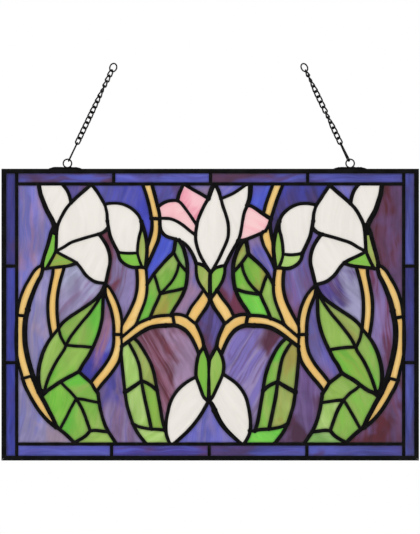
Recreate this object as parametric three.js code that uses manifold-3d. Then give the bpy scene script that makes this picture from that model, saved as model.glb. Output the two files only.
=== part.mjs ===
// A leaded stained glass panel with flowers and leaves, in a dark metal frame, hung on two chains.
// Millimetres, Z up. The front of the panel faces -Y and the panel lies in the plane y = 0.
// The origin is the hanging point, on the panel's middle line, level with the two rings that end the chains.
import * as THREE from "three";
import { mergeVertices } from "three/addons/utils/BufferGeometryUtils.js";
import Module from "manifold-3d";

const wasm = await Module();
wasm.setup();

// Sizes of the real object.
const PANEL_WIDTH = 508;
const PANEL_HEIGHT = 355;
const RAIL_FACE = 5.7;
const RAIL_DEPTH = 7;
const RAIL_WALL = 1.2;
const GLASS_THICKNESS = 3;
const BEAD_THICKNESS = 5.6;
const CLEARANCE = 0.3;
const GLASS_UNDER_RAIL = 2.8;
const STRAIGHT_LEAD = 3.4;
const PATCH_LENGTH = 40;
const PATCH_RISE = 2.4;
const PATCH_DEPTH = 6;
const PATCH_TAPER = 7;
const LOOP_RADIUS = 5.1;
const LOOP_WIRE = 0.9;
const LOOP_RISE = 6.6;
const CHAIN_LEAN = 0.431;
const CHAIN_PITCH = 7.01;
const CHAIN_WIRE = 0.8;
const CHAIN_LINK_WIDTH = 7.2;
const CHAIN_LINKS = 14;
const FIRST_LINK = 30.5;
const END_RING_RADIUS = 5.1;
const END_RING_WIRE = 0.9;
const LINK_BITE = 0.2;
const LINK_SIDES = 8;
const RING_SIDES = 12;
const WIRE_SIDES = 4;
const LINK_TURN = Math.PI / 4;

// What differs between the two hangers: how far the loop stands from the panel's edge and the middle of
// its patch from the loop, and how wide the clip is and how far it has turned about the chain.
const LEFT_LOOP_FROM_EDGE = 80.2;
const RIGHT_LOOP_FROM_EDGE = 83.6;
const LEFT_PATCH_SHIFT = -2.8;
const RIGHT_PATCH_SHIFT = 0;
const LEFT_CLIP_WIDTH = 5.4;
const RIGHT_CLIP_WIDTH = 6.2;
const LEFT_CLIP_TURN = 1.66;
const RIGHT_CLIP_TURN = 0.96;
const leftHanger = {
  fromEdge: LEFT_LOOP_FROM_EDGE,
  patchShift: LEFT_PATCH_SHIFT,
  clipWidth: LEFT_CLIP_WIDTH,
  clipTurn: LEFT_CLIP_TURN,
};
const rightHanger = {
  fromEdge: RIGHT_LOOP_FROM_EDGE,
  patchShift: RIGHT_PATCH_SHIFT,
  clipWidth: RIGHT_CLIP_WIDTH,
  clipTurn: RIGHT_CLIP_TURN,
};

// The cartoon is drawn in squares, x to the right and y down. These lay it on the panel, and the last
// four are the lead lines round the picture, in squares.
const CARTOON_WIDTH = 417.2;
const CARTOON_HEIGHT = 291.55;
const CARTOON_CENTRE = [210.2, 314.6];
const SQUARE = PANEL_WIDTH / CARTOON_WIDTH;
const SQUARE_UP = PANEL_HEIGHT / CARTOON_HEIGHT;
const PICTURE_LEFT = 16.8;
const PICTURE_RIGHT = 403.6;
const PICTURE_TOP = 184;
const PICTURE_BOTTOM = 443.95;
const FIT_TOLERANCE = 0.9;
const LEAD_TOLERANCE = 0.2;
const GLASS_TOLERANCE = 0.05;
const LINE_RUN_ON = 0.25;
const SHARPEST_MITRE = 0.5;
const PROBE_SIZE = 0.2;

const chainDirection = [CHAIN_LEAN, Math.sqrt(1 - CHAIN_LEAN ** 2)];
const lastLink = FIRST_LINK + CHAIN_PITCH * (CHAIN_LINKS - 1);
const endRingReach = lastLink + CHAIN_PITCH / 2 - END_RING_WIRE + END_RING_RADIUS;
const panelTop = -(LOOP_RISE + chainDirection[1] * endRingReach);
const panelCentre = panelTop - PANEL_HEIGHT / 2;

const onPanel = ([x, y]) => [
  (x - CARTOON_CENTRE[0]) * SQUARE,
  panelCentre + (CARTOON_CENTRE[1] - y) * SQUARE_UP,
];

// The right half mirrors the left but was cut by hand, so near these points it drifts a little:
// the point, how far the drift reaches, and how far it moves the lines right and down.
const DRIFTS = [
  [330, 198, 18, 1.3, 1.7],
  [369, 212, 22, 1.8, 0.4],
  [362, 248, 14, 1.5, 0.2],
  [290, 258, 16, 0.3, 1.7],
  [311, 284, 10, 0.9, 1.3],
  [246, 247, 12, 1.8, 1.8],
  [264, 268, 12, 1.4, -0.6],
  [246, 292, 14, 0.2, 1.6],
  [330, 349, 13, 1.4, 2.4],
  [356, 346, 12, 1.3, 1.9],
  [344, 374, 10, 0.4, 1.6],
  [364, 385, 13, 0.5, 4],
  [342, 402, 13, -0.6, 1.3],
  [276, 382, 13, -1.4, 1.1],
  [285, 353, 12, -1.7, 0.4],
  [396, 317, 9, 0, 2.6],
  [392, 378, 8, 0, 3.2],
];
function mirrored([x, y]) {
  const across = 2 * CARTOON_CENTRE[0] - x;
  const share = DRIFTS.map(([cx, cy, reach]) => Math.exp(-((across - cx) ** 2 + (y - cy) ** 2) / reach ** 2));
  return [
    across + DRIFTS.reduce((sum, drift, i) => sum + drift[3] * share[i], 0),
    y + DRIFTS.reduce((sum, drift, i) => sum + drift[4] * share[i], 0),
  ];
}

// Lead lines: a name, the widths at the start and the end, and the points that the line runs through.
// These go right through the panel. They are drawn for the left half and repeated mirrored.
const sideLeads = [
  [
    "outer petal, outside", 3.8, 4.6,
    [38.8, 184.3], [40.6, 194], [42.8, 200], [46.8, 210], [52.2, 220], [54.5, 226],
  ],
  [
    "left sepal, outside", 3.6, 3,
    [54.5, 226], [51.5, 232], [49.8, 238], [47.3, 247], [44.3, 256], [42.2, 264.5],
  ],
  ["outer petal, inside", 2.8, 2.8, [62.5, 184.3], [66.8, 190], [69.5, 196], [71, 202.6]],
  ["great petal, left top", 3.2, 3, [91.5, 184.3], [84.5, 190.5], [78, 196.2], [71, 202.8]],
  ["great petal, right top", 2.8, 2.6, [91.5, 184.3], [97, 191.5], [101, 198], [105, 205]],
  [
    "right petal, top", 2.2, 2.6,
    [105, 204.2], [112, 203.3], [120, 203.7], [127, 206], [133, 209.7], [138.4, 215.3],
    [141.3, 221.5],
  ],
  ["right petal, left", 3, 3, [107.4, 221], [108.6, 228], [110.3, 236], [113.3, 243], [118, 252]],
  ["great petal, heel", 2.8, 3.2, [98, 234.4], [103, 232.5], [107.4, 229]],
  [
    "low petal, right", 3, 3,
    [99.5, 234.6], [103.5, 240.3], [107.3, 247], [109.7, 255], [110, 263], [108.3, 271],
    [105.6, 284],
  ],
  [
    "low petal, under", 2.6, 2.8,
    [76.5, 262.8], [80.5, 267.5], [85.5, 274.5], [90.5, 279], [96, 282], [104.8, 283.4],
  ],
  ["small sepal, under", 2.6, 2.6, [43.5, 268.8], [52, 267.8], [60, 266.9], [68, 265.9], [76.5, 263.4]],
  [
    "right sepal, under", 2.6, 2.8,
    [118, 252.4], [119.7, 258.5], [123.5, 263], [128.5, 266], [134, 267.4], [141.5, 267.2],
    [146, 268],
  ],
  [
    "slender sepal, outside", 3.4, 3,
    [141.3, 221.5], [143.8, 229], [146, 238], [147, 247], [146.8, 256], [145.4, 267.6],
  ],
  [
    "outer stem, left", 2.4, 2.4,
    [42.4, 265], [37.5, 267.7], [33.5, 272], [29.3, 279], [25, 286.5], [21.8, 294], [19.3, 302],
    [17.8, 310], [16.6, 322], [16, 335], [16.1, 345], [16.8, 354], [18.2, 362], [20.5, 370.5],
    [22.6, 378],
  ],
  [
    "outer stem, left, low", 2.8, 3.2,
    [22.6, 378], [25, 385.5], [28.6, 393], [33, 401], [38, 409], [43.5, 416], [49, 421.7],
    [56, 427.3],
  ],
  [
    "outer stem, right, top", 3, 4.6,
    [42.4, 265], [42.6, 270], [40.8, 276.5], [38.5, 280.5], [35, 288], [32.3, 295], [29.8, 302],
    [27.8, 309.5],
  ],
  [
    "outer stem, right, bend", 4.8, 4.6,
    [27.8, 309.5], [25.8, 318], [24.9, 327], [24.8, 336], [25.4, 345], [26.8, 353], [28.8, 362],
    [33.5, 377.5],
  ],
  [
    "outer stem, right, low", 4.4, 3.4,
    [33.5, 377.5], [38.5, 391], [42.5, 398.5], [46, 405], [49.5, 412], [53, 418.5], [57, 427.3],
  ],
  ["solder pool by the stem", 5, 6, [34.6, 379.5], [40, 391.5]],
  [
    "inner stem, left", 2.6, 2.6,
    [53.4, 268], [52.7, 275], [51.2, 282], [49.7, 290], [48.4, 298], [47.9, 306], [48.2, 315],
    [49, 323], [51.5, 336.6],
  ],
  [
    "inner stem, right", 2.6, 2.8,
    [64.5, 266.5], [62.9, 272], [60.5, 280.5], [58.7, 288.5], [57.4, 297], [57, 306], [57.2, 315],
    [58.6, 328.4],
  ],
  [
    "great leaf, top", 3.2, 2.6,
    [105, 284.5], [100.5, 293.5], [94, 300.3], [86, 306.2], [78, 311.5], [70, 316.8], [63, 322.5],
    [58.6, 328.4],
  ],
  [
    "great leaf, left", 2.4, 4,
    [58.6, 328.4], [50.5, 338.5], [46.5, 345], [43.2, 352], [41, 359], [39.3, 366], [38.4, 374],
    [38.6, 382], [40.3, 391.5],
  ],
  [
    "great leaf, right", 2.6, 3,
    [105, 285], [103.3, 296], [102.6, 313], [101.7, 321], [99.2, 331.5], [96, 340.5],
    [92.3, 348.5], [88.3, 356.5], [83.5, 363.5], [79, 371.6],
  ],
  [
    "great leaf, foot", 3.2, 3.2,
    [79, 371.6], [74, 374.3], [67, 378], [60, 382], [53, 386.7], [47, 391], [42, 396],
  ],
  ["low leaf, shoulder", 2.8, 2.8, [79, 371.8], [85.5, 377.8], [91, 382.7], [94.2, 388], [98, 393.5]],
  [
    "low leaf, right", 2.8, 2.8,
    [98, 393.5], [99.3, 403], [100.6, 410], [102.7, 418], [105.5, 426], [109, 432.5], [116, 443.2],
  ],
  ["low leaf, left foot", 3, 3, [55.5, 426.5], [60.5, 430], [66, 434.5], [75, 443.2]],
  [
    "right stem, left", 2.6, 2.6,
    [105.2, 284.5], [105.6, 294], [108.3, 302], [110.8, 309], [112.7, 317], [113.7, 325],
    [113.9, 334.5], [113.6, 344], [111.6, 352.5], [108, 360], [103.3, 367], [97, 374.7],
    [91, 382.3],
  ],
  [
    "right stem, right, top", 2.4, 2.4,
    [105.6, 284], [110, 288.5], [114.5, 296], [118, 304], [120.5, 312], [122.2, 322.5],
  ],
  [
    "right stem, right, low", 2.6, 2.8,
    [121.8, 346.3], [121, 353], [119, 361], [115, 368], [109.3, 375.7], [103, 383], [97, 390.5],
  ],
  [
    "mid stem, left", 2.8, 2.6,
    [136.5, 268], [137.3, 276], [137.4, 284], [136.6, 292], [134.3, 300.5], [130.3, 309.5],
    [125.8, 318], [122.2, 324],
  ],
  [
    "mid stem, right", 2.4, 2.2,
    [146, 268], [147, 281], [147, 290], [145.6, 299], [142.8, 307.5], [139.3, 316], [136, 324.8],
  ],
  [
    "arch, top, left", 2.4, 2.6,
    [136, 324.8], [139.5, 322.7], [145, 320.2], [152, 317.4], [160, 315.9], [168, 315.3],
    [176, 314.3], [181, 314.8], [186.6, 316.6],
  ],
  ["arch, top, right", 2.6, 2.8, [195.8, 323.4], [200.2, 333], [202.5, 339.5], [203.8, 346.5]],
  [
    "arch, under", 3, 4,
    [121.8, 346.3], [129, 341], [136, 335.8], [143, 331.2], [150, 327.7], [158, 326], [166, 325.6],
  ],
  [
    "arch, under, right", 4, 2.8,
    [166, 325.6], [174, 325.3], [180, 327], [186, 330.8], [191, 337], [195, 344.5], [198.6, 353],
  ],
  ["slanted stem, left", 2.4, 2.4, [203.6, 289.8], [198, 298.2], [191.3, 307], [186.4, 316.6]],
  ["slanted stem, right", 3, 2.8, [210.2, 299.4], [206.3, 307.5], [200.5, 316], [195.8, 323.4]],
  [
    "middle leaf, tip", 3.4, 2.4,
    [175.6, 239.4], [174.7, 246], [173.2, 252.5], [168, 258], [162, 264.5], [156, 271.5],
    [151.5, 277.5], [147, 285],
  ],
  [
    "middle leaf, right", 3.4, 3,
    [179, 240.2], [182.9, 247], [185.4, 255], [187, 263], [187.4, 271], [187, 279], [185.8, 286],
    [183, 294], [179, 301.5], [174.5, 308.5], [170.6, 315.4],
  ],
  [
    "spray leaf, left", 2.6, 2.8,
    [121, 353], [122.8, 371], [124.6, 388], [126.8, 404], [129, 412], [131.5, 420], [134.5, 427],
    [138.5, 434], [145.5, 443.2],
  ],
  [
    "spray leaf, right", 2.6, 2.8,
    [133.5, 337.8], [138, 342], [142.5, 348.5], [147, 356], [150.8, 363.5], [153.5, 371.5],
    [155.3, 380], [157.6, 393], [160, 406], [162.8, 422], [165.5, 431],
  ],
];

// Thin lines inside one flower, leaf or stem, soldered on both faces. Also mirrored.
const sideVeins = [
  [
    "great petal, left", 2.6, 2.8,
    [71, 202.8], [66, 209], [62, 216], [58.3, 224], [56.8, 232], [56.5, 240], [56, 251],
  ],
  ["slender against small sepal", 2.4, 2.6, [56, 251], [53.5, 256], [50.5, 261.5], [46.5, 268.5]],
  [
    "great petal, low edge", 2.3, 2.6,
    [56, 251.3], [64, 247], [71, 242.6], [80, 239.5], [90, 236.5], [98, 234.4],
  ],
  ["low petal against small sepal", 2.4, 2.6, [56, 251.5], [64, 255.9], [71, 259.5], [76.5, 262.8]],
  ["great petal, right", 2.2, 2.8, [105, 205], [106.9, 213], [107.4, 221]],
  ["right petal, foot", 2.2, 2.2, [118, 252.2], [123, 253], [130, 253.3], [137.4, 252.9]],
  [
    "right petal, right", 2.6, 2.2,
    [141.3, 221.5], [141.2, 229], [139.4, 236], [138, 244], [137.4, 252.9],
  ],
  ["right sepals", 2, 2.2, [137.4, 252.9], [139.2, 259.5], [142.2, 267.2]],
  ["outer stem, high joint", 2.4, 2.4, [16.9, 315.2], [26.2, 315.9]],
  ["outer stem, low joint", 2.2, 2.2, [22.3, 378.6], [32.6, 375.6]],
  [
    "great leaf, midrib", 2.2, 2.6,
    [103.4, 291], [98.5, 300], [94, 307], [88.5, 314.5], [82.5, 321.5], [76.5, 329], [70.5, 337],
    [66.3, 344.8], [64, 350], [57.4, 360], [52, 370], [47.7, 380], [43.4, 394.5],
  ],
  ["great leaf, left vein", 2.2, 2.2, [58.6, 328.4], [61, 337], [65.8, 345.4]],
  ["great leaf, right vein", 2.4, 2.4, [66.3, 345], [75, 346], [84, 346.5], [92.8, 347.5]],
  ["low leaf, upper left vein", 2.2, 2.2, [60.6, 381.8], [65.5, 387], [70.5, 391.8], [76.3, 398.6]],
  ["low leaf, right vein", 2.2, 2.2, [76.3, 398.6], [83, 399.3], [90, 400.8], [99.2, 402.6]],
  ["low leaf, left stalk", 2.2, 2.2, [76.3, 398.6], [71.5, 407], [67, 416], [63, 423.5], [59.8, 429.4]],
  ["low leaf, middle stalk", 2.6, 2.6, [76.3, 398.6], [81.5, 407.5], [85.3, 416.5], [90.2, 430.6]],
  ["low leaf, foot", 2.6, 2.6, [90.2, 430.6], [96, 430.3], [101.5, 431], [108.2, 431.8]],
  ["low leaf, curl", 2.8, 2.8, [90.2, 430.6], [86, 435.5], [80, 439.5], [74, 442.6]],
  ["right stem, joint", 2.6, 2.6, [113.9, 334.4], [121.4, 334.6]],
  ["right stem against mid stem", 2.2, 1.4, [122.2, 323.4], [121.4, 330], [121.4, 336], [121.8, 346.3]],
  ["mid stem against arch", 2.2, 2.4, [121.5, 337.5], [127.5, 332.3], [133.3, 327.4], [136, 324.8]],
  ["arch, joint", 2.8, 2.8, [172.6, 315], [174.6, 325.4]],
  ["slanted stem, foot", 2.4, 2.4, [186.4, 316.4], [192, 321], [196, 324]],
  [
    "middle leaf, upper right vein", 2.4, 2.4,
    [173.6, 252], [177, 258.8], [180.5, 264.5], [184.3, 269], [187.4, 272.6],
  ],
  [
    "middle leaf, midrib", 2, 2.2,
    [178.8, 264], [177, 271.5], [172.8, 280], [167.5, 286.5], [160.3, 293.8],
  ],
  ["middle leaf, left vein", 2.4, 2.2, [153.8, 274.2], [156.3, 281], [158.3, 288], [160.3, 293.8]],
  ["middle leaf, right vein", 2.6, 2.6, [160.3, 293.8], [168, 292], [176, 290.4], [185.6, 288]],
  ["middle leaf, stalk", 2.4, 2.8, [160.3, 293.8], [157.3, 301], [154, 308], [149.8, 318.4]],
  [
    "spray leaf, midrib", 2.4, 3,
    [128, 341.5], [131.5, 347.5], [135.3, 355], [138.5, 363], [140.2, 371], [141.4, 380.6],
    [144, 395], [148, 413], [151.4, 428.8],
  ],
  ["spray leaf, left vein", 2.8, 4, [141.4, 380.8], [134, 386.3], [125.2, 392]],
  ["spray leaf, right vein", 2.8, 3, [141.4, 380.6], [147, 383], [152, 386], [157, 390.4]],
  [
    "spray leaf, foot", 2.4, 2.6,
    [132.4, 423.2], [138, 426.3], [145, 428.1], [152, 429], [160, 429.5], [165.5, 430.4],
  ],
];

// Lines of the middle flower and the buds, which the two halves don't share.
const middleLeads = [
  [
    "upper left stem, left", 2.8, 3,
    [142.6, 184.3], [146, 194], [148.8, 204], [150.8, 214], [152, 221], [151.8, 230],
    [149.8, 238.5], [147, 247],
  ],
  [
    "upper left stem, right", 3, 3.2,
    [151.8, 184.3], [154.8, 195], [157.3, 205], [159.4, 214], [159.9, 222], [159.8, 231],
    [158.3, 240], [155, 248], [151.5, 256], [146, 267.6],
  ],
  ["rose petal, left", 2.8, 3.2, [183.4, 184.3], [180.9, 190], [178.8, 195], [177.6, 200.4]],
  ["rose petal, top", 2.8, 3, [184.6, 184.3], [190, 187.8], [196, 191.3], [203, 195.2], [208.4, 198.6]],
  ["pale petal, top", 2.8, 2.4, [158, 207], [163, 203.3], [169, 201], [177.6, 200.4]],
  [
    "milk petal, under", 2.8, 3.2,
    [159.8, 224], [161, 230], [163.7, 234.2], [168, 236.9], [176, 239.4], [182.5, 242.3],
    [187.5, 246.5], [191.3, 252], [194.3, 258], [196.2, 263.4],
  ],
  [
    "left calyx, outside", 2.2, 2.8,
    [196.2, 263.4], [196.2, 270], [197, 277], [199, 282.7], [203.6, 289.8], [210.2, 299.4],
  ],
  ["middle petal, tip left", 4.6, 4, [213.6, 184.3], [211.3, 190], [208.4, 198.6]],
  ["middle petal, tip right", 3.4, 3, [215.2, 184.3], [218.3, 190.5], [221, 198.8]],
  [
    "ivory petal, top", 2.4, 2.6,
    [221, 198.8], [227, 196.3], [233.5, 193.3], [240, 189], [246.6, 184.3],
  ],
  ["ivory petal, right top", 4.8, 3.8, [250.4, 184.3], [250.2, 192], [249.3, 199], [247.3, 205.4]],
  ["ivory petal, right low", 2.8, 3.4, [238.2, 240.8], [233.5, 249], [229.5, 256.5], [224.8, 266]],
  [
    "blush petal, top", 2.8, 3.8,
    [247.3, 205.4], [251.5, 206.3], [257, 209.7], [263.5, 214.2], [270.8, 219],
  ],
  ["blush petal, right", 3, 2.6, [270.8, 219], [268.6, 225.5], [265.4, 231]],
  [
    "blush petal, under", 3.4, 2.6,
    [238.2, 240.8], [244.5, 240], [251.5, 237.3], [258.5, 234.4], [265.4, 231],
  ],
  [
    "right calyx, outside", 2.6, 2.8,
    [224.8, 266], [224.6, 273], [222.3, 281], [217, 290], [210.2, 299.4],
  ],
  ["upper right stem, left", 2.6, 2.8, [273, 184.3], [269, 195], [265.8, 204], [263.4, 214]],
  [
    "upper right stem, right", 2.8, 3.2,
    [283, 184.3], [279.5, 193], [275.8, 203], [273, 212], [270.8, 219], [270.2, 226], [271, 233],
    [273.4, 244],
  ],
  [
    "lower right stem, left", 2.6, 2.6,
    [263, 232], [261.3, 236.5], [263.5, 245], [266.6, 251], [269.8, 257], [274.4, 267.6],
  ],
  [
    "left bud, left", 2.8, 2.8,
    [196, 377], [190.5, 379.8], [184.5, 383.8], [179, 388.7], [173.8, 395.5], [170, 403.5],
    [168, 411.5], [166.4, 419.5], [166, 428], [166.6, 435], [169.5, 443.2],
  ],
  [
    "left bud, right", 3.2, 3,
    [208.8, 400.5], [205, 407.5], [201.3, 414], [197.3, 419.7], [192.8, 425.5], [187.5, 431.3],
    [182, 436.5], [174.5, 443.2],
  ],
  [
    "right bud, right", 2.8, 3,
    [223, 374], [228.5, 377.7], [235, 382.3], [241, 388.8], [245.7, 397], [248, 405], [249.5, 413],
    [250.4, 421], [250.3, 429], [248.5, 436], [244.5, 443.2],
  ],
  ["right bud, left", 3.4, 5, [209, 400.5], [212.3, 405], [214.5, 410.3]],
  [
    "right bud, left, low", 5, 3,
    [214.5, 410.3], [218.2, 418], [221.8, 424], [226.8, 430.3], [232, 435.5], [240.5, 443.2],
  ],
  [
    "left bud sepal, outside", 2.8, 3,
    [203.8, 346.5], [198.6, 355], [196.6, 364.5], [196, 371], [196, 377],
  ],
  [
    "right bud sepal, outside", 2.8, 3,
    [216.6, 346.5], [219.6, 351.5], [222.4, 358], [223.8, 365.5], [223, 374],
  ],
  ["right bud, foot joint", 2.6, 3, [254.9, 431], [249.6, 430.6]],
  ["diamond, low left", 3, 3.6, [203.8, 346.5], [206.2, 352.5], [209, 360]],
  ["diamond, low right", 3, 3.6, [216.6, 346.5], [213, 353], [209, 360]],
];
const middleVeins = [
  ["upper left stem, joint", 3, 3, [151.4, 218.5], [159.6, 218.9]],
  [
    "rose against pale petal", 2.4, 2.4,
    [177.6, 200.4], [181.5, 203.8], [186, 209.5], [190.5, 215.8], [196.6, 225],
  ],
  [
    "pale against milk petal", 2.5, 2.6,
    [159.8, 218.4], [165, 218.4], [170.5, 218.9], [177, 221.4], [184, 226], [190, 231],
    [195.6, 235],
  ],
  [
    "middle petal, left", 3, 2.6,
    [208.4, 198.6], [204.6, 205], [201, 212.5], [198, 220], [196.4, 228], [195.6, 236],
    [196.2, 243], [199, 252.5], [203.5, 261.5], [210.6, 272.6],
  ],
  [
    "middle petal, right", 2.8, 2.6,
    [221, 198.8], [223, 206.5], [225.8, 214.5], [227.8, 222], [228.5, 229], [228.1, 236.5],
    [226.3, 242.5], [222.7, 250.5], [218.5, 259.5], [211, 272.6],
  ],
  ["left calyx, top", 2.8, 2.8, [196.2, 263.4], [200.5, 264.3], [205, 266.8], [210.4, 272.6]],
  ["right calyx, top", 2.6, 2.6, [224.8, 265.4], [219, 266.8], [214.8, 268.6], [211, 272.6]],
  ["calyx, middle", 3.4, 4, [210.2, 271.5], [209.9, 285], [210.2, 299.4]],
  [
    "ivory against blush petal", 2.8, 2.6,
    [247.3, 205.4], [244.5, 212], [242.7, 220], [241.5, 228], [240, 235.5], [238.2, 240.8],
  ],
  ["bud sepals", 4, 2, [209, 359], [208.8, 372]],
  ["bud sepals, low", 2, 4, [208.8, 372], [208.8, 388], [208.8, 401]],
  [
    "left bud against sepal", 2.8, 3,
    [196, 377], [199, 384.5], [201.3, 391], [203.8, 397], [208.6, 401.5],
  ],
  [
    "right bud against sepal", 2.8, 3,
    [223, 374], [219.8, 381.3], [216.5, 388.5], [213, 396], [209, 401.5],
  ],
];

// The border: the cartoon's x of its upright joints at the top and the bottom, and y of the level ones.
const TOP_JOINTS = [113.8, 210.5, 307.5];
const BOTTOM_JOINTS = [111.6, 209.2, 306.8];
const SIDE_JOINTS = [266.1, 362.6];

// A point inside each pane or group of panes, which picks and names its glass.
const sideGlass = [
  ["flower", [80, 225]],
  ["leaf_great", [60, 345]],
  ["leaf_low", [60, 400]],
  ["leaf_spray", [132, 365]],
  ["leaf_middle", [168, 270]],
  ["stem_outer", [20, 335]],
  ["stem_inner", [53, 300]],
  ["stem_spray", [128, 322]],
  ["sky_side", [30, 220]],
  ["sky_petal_gap", [75, 192]],
  ["sky_over_petal", [120, 195]],
  ["sky_narrow", [125, 285]],
  ["sky_stem_gap", [38, 320]],
  ["sky_over_leaf", [75, 290]],
  ["sky_leaf_stem", [104, 335]],
  ["sky_corner", [28, 425]],
  ["sky_leaf_gap", [115, 400]],
  ["sky_bright", [158, 255]],
  ["sky_flank", [192, 290]],
  ["sky_arch", [172, 360]],
];
const middleGlass = [
  ["flower_middle", [212, 230]],
  ["buds", [185, 410]],
  ["stem_upper_left", [152, 200]],
  ["stem_upper_right", [272, 200]],
  ["stem_lower_right", [266, 240]],
  ["sky_top_left", [165, 193]],
  ["sky_top_right", [261, 196]],
  ["sky_tip_left", [204, 189]],
  ["sky_tip_right", [225, 190]],
  ["sky_diamond", [210, 325]],
  ["sky_foot", [208, 425]],
];

// Closed solids from three.js geometry, and back.
function solidOf(geometry) {
  const bare = new THREE.BufferGeometry();
  const source = geometry.index ? geometry.toNonIndexed() : geometry;
  bare.setAttribute("position", source.getAttribute("position"));
  const merged = mergeVertices(bare, 1e-4);
  return new wasm.Manifold(
    new wasm.Mesh({
      numProp: 3,
      vertProperties: new Float32Array(merged.attributes.position.array),
      triVerts: new Uint32Array(merged.index.array),
    }),
  );
}

function geometryOf(solid) {
  const mesh = solid.getMesh();
  const positions = new Float32Array(mesh.numVert * 3);
  for (let i = 0; i < mesh.numVert; i += 1) {
    positions.set(mesh.vertProperties.subarray(i * mesh.numProp, i * mesh.numProp + 3), i * 3);
  }
  const geometry = new THREE.BufferGeometry();
  geometry.setAttribute("position", new THREE.BufferAttribute(positions, 3));
  geometry.setIndex(new THREE.BufferAttribute(new Uint32Array(mesh.triVerts), 1));
  geometry.computeVertexNormals();
  return geometry;
}

// A prism with an outline in x and z, between two depths in y.
function prism(outline, front, back) {
  const shape = new THREE.Shape(outline.map(([x, z]) => new THREE.Vector2(x, z)));
  const geometry = new THREE.ExtrudeGeometry(shape, { depth: back - front, bevelEnabled: false });
  geometry.rotateX(Math.PI / 2);
  geometry.translate(0, back, 0);
  return solidOf(geometry);
}

function box(left, bottom, right, top, front, back) {
  return prism([[left, bottom], [right, bottom], [right, top], [left, top]], front, back);
}

// The points of a line that it can't do without.
function needed(points, tolerance) {
  if (points.length < 3) return points;
  const [ax, ay] = points[0];
  const [bx, by] = points[points.length - 1];
  const length = Math.hypot(bx - ax, by - ay);
  let worst = 0;
  let at = 0;
  for (let i = 1; i < points.length - 1; i += 1) {
    const [px, py] = points[i];
    const away = Math.abs((bx - ax) * (py - ay) - (by - ay) * (px - ax)) / length;
    if (away > worst) {
      worst = away;
      at = i;
    }
  }
  if (worst <= tolerance) return [points[0], points[points.length - 1]];
  return [...needed(points.slice(0, at + 1), tolerance).slice(0, -1), ...needed(points.slice(at), tolerance)];
}

// The outline of a lead line: its middle line widened to both sides, with square ends that run on a little.
function ribbon(points, startWidth, endWidth, extra) {
  const line = points.map((p) => new THREE.Vector2(...onPanel(p)));
  const count = line.length;
  const steps = line.slice(1).map((p, i) => p.clone().sub(line[i]).normalize());
  const runOn = LINE_RUN_ON * SQUARE;
  line[0].addScaledVector(steps[0], -startWidth * runOn - extra);
  line[count - 1].addScaledVector(steps[count - 2], endWidth * runOn + extra);
  const left = [];
  const right = [];
  line.forEach((p, i) => {
    const before = steps[Math.max(i - 1, 0)];
    const after = steps[Math.min(i, count - 2)];
    const along = before.clone().add(after).normalize();
    const stretch = 1 / Math.max(along.dot(before), SHARPEST_MITRE);
    const share = i / (count - 1);
    const half = ((startWidth * (1 - share) + endWidth * share) * SQUARE) / 2 + extra;
    const side = new THREE.Vector2(-along.y, along.x).multiplyScalar(half * stretch);
    left.push([p.x + side.x, p.y + side.y]);
    right.unshift([p.x - side.x, p.y - side.y]);
  });
  return [...left, ...right];
}

const bothSides = (lines) =>
  lines.flatMap(([, start, end, ...points]) => [
    [start, end, needed(points, FIT_TOLERANCE)],
    [start, end, needed(points, FIT_TOLERANCE).map(mirrored)],
  ]);
const asDrawn = (lines) =>
  lines.map(([, start, end, ...points]) => [start, end, needed(points, FIT_TOLERANCE)]);
const leads = [...bothSides(sideLeads), ...asDrawn(middleLeads)];
const veins = [...bothSides(sideVeins), ...asDrawn(middleVeins)];

const halfGlass = GLASS_THICKNESS / 2;
const halfBead = BEAD_THICKNESS / 2;
const panelLeft = -PANEL_WIDTH / 2;
const panelRight = PANEL_WIDTH / 2;
const panelBottom = panelTop - PANEL_HEIGHT;
const [innerLeft, innerTop] = onPanel([PICTURE_LEFT, PICTURE_TOP]);
const [innerRight, innerBottom] = onPanel([PICTURE_RIGHT, PICTURE_BOTTOM]);
const halfLead = STRAIGHT_LEAD / 2;

// The four straight lead lines round the picture, and the joints of the border outside them.
function ring(grow, front, back) {
  const out = halfLead + grow;
  return box(innerLeft - out, innerBottom - out, innerRight + out, innerTop + out, front, back).subtract(
    box(innerLeft + out, innerBottom + out, innerRight - out, innerTop - out, 2 * front, 2 * back),
  );
}
const inLeft = panelLeft + RAIL_FACE + CLEARANCE;
const inRight = panelRight - RAIL_FACE - CLEARANCE;
const inTop = panelTop - RAIL_FACE - CLEARANCE;
const inBottom = panelBottom + RAIL_FACE + CLEARANCE;
const upright = (x, low, high) => [x - halfLead, low, x + halfLead, high];
const level = (y, left, right) => [left, y - halfLead, right, y + halfLead];
const borderJoints = [
  ...TOP_JOINTS.map((x) => upright(onPanel([x, 0])[0], innerTop, inTop)),
  ...BOTTOM_JOINTS.map((x) => upright(onPanel([x, 0])[0], inBottom, innerBottom)),
  ...SIDE_JOINTS.map((y) => level(onPanel([0, y])[1], inLeft, innerLeft)),
  ...SIDE_JOINTS.map((y) => level(onPanel([0, y])[1], innerRight, inRight)),
  upright(innerLeft, innerTop, inTop),
  upright(innerRight, innerTop, inTop),
  upright(innerLeft, inBottom, innerBottom),
  upright(innerRight, inBottom, innerBottom),
];

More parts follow.
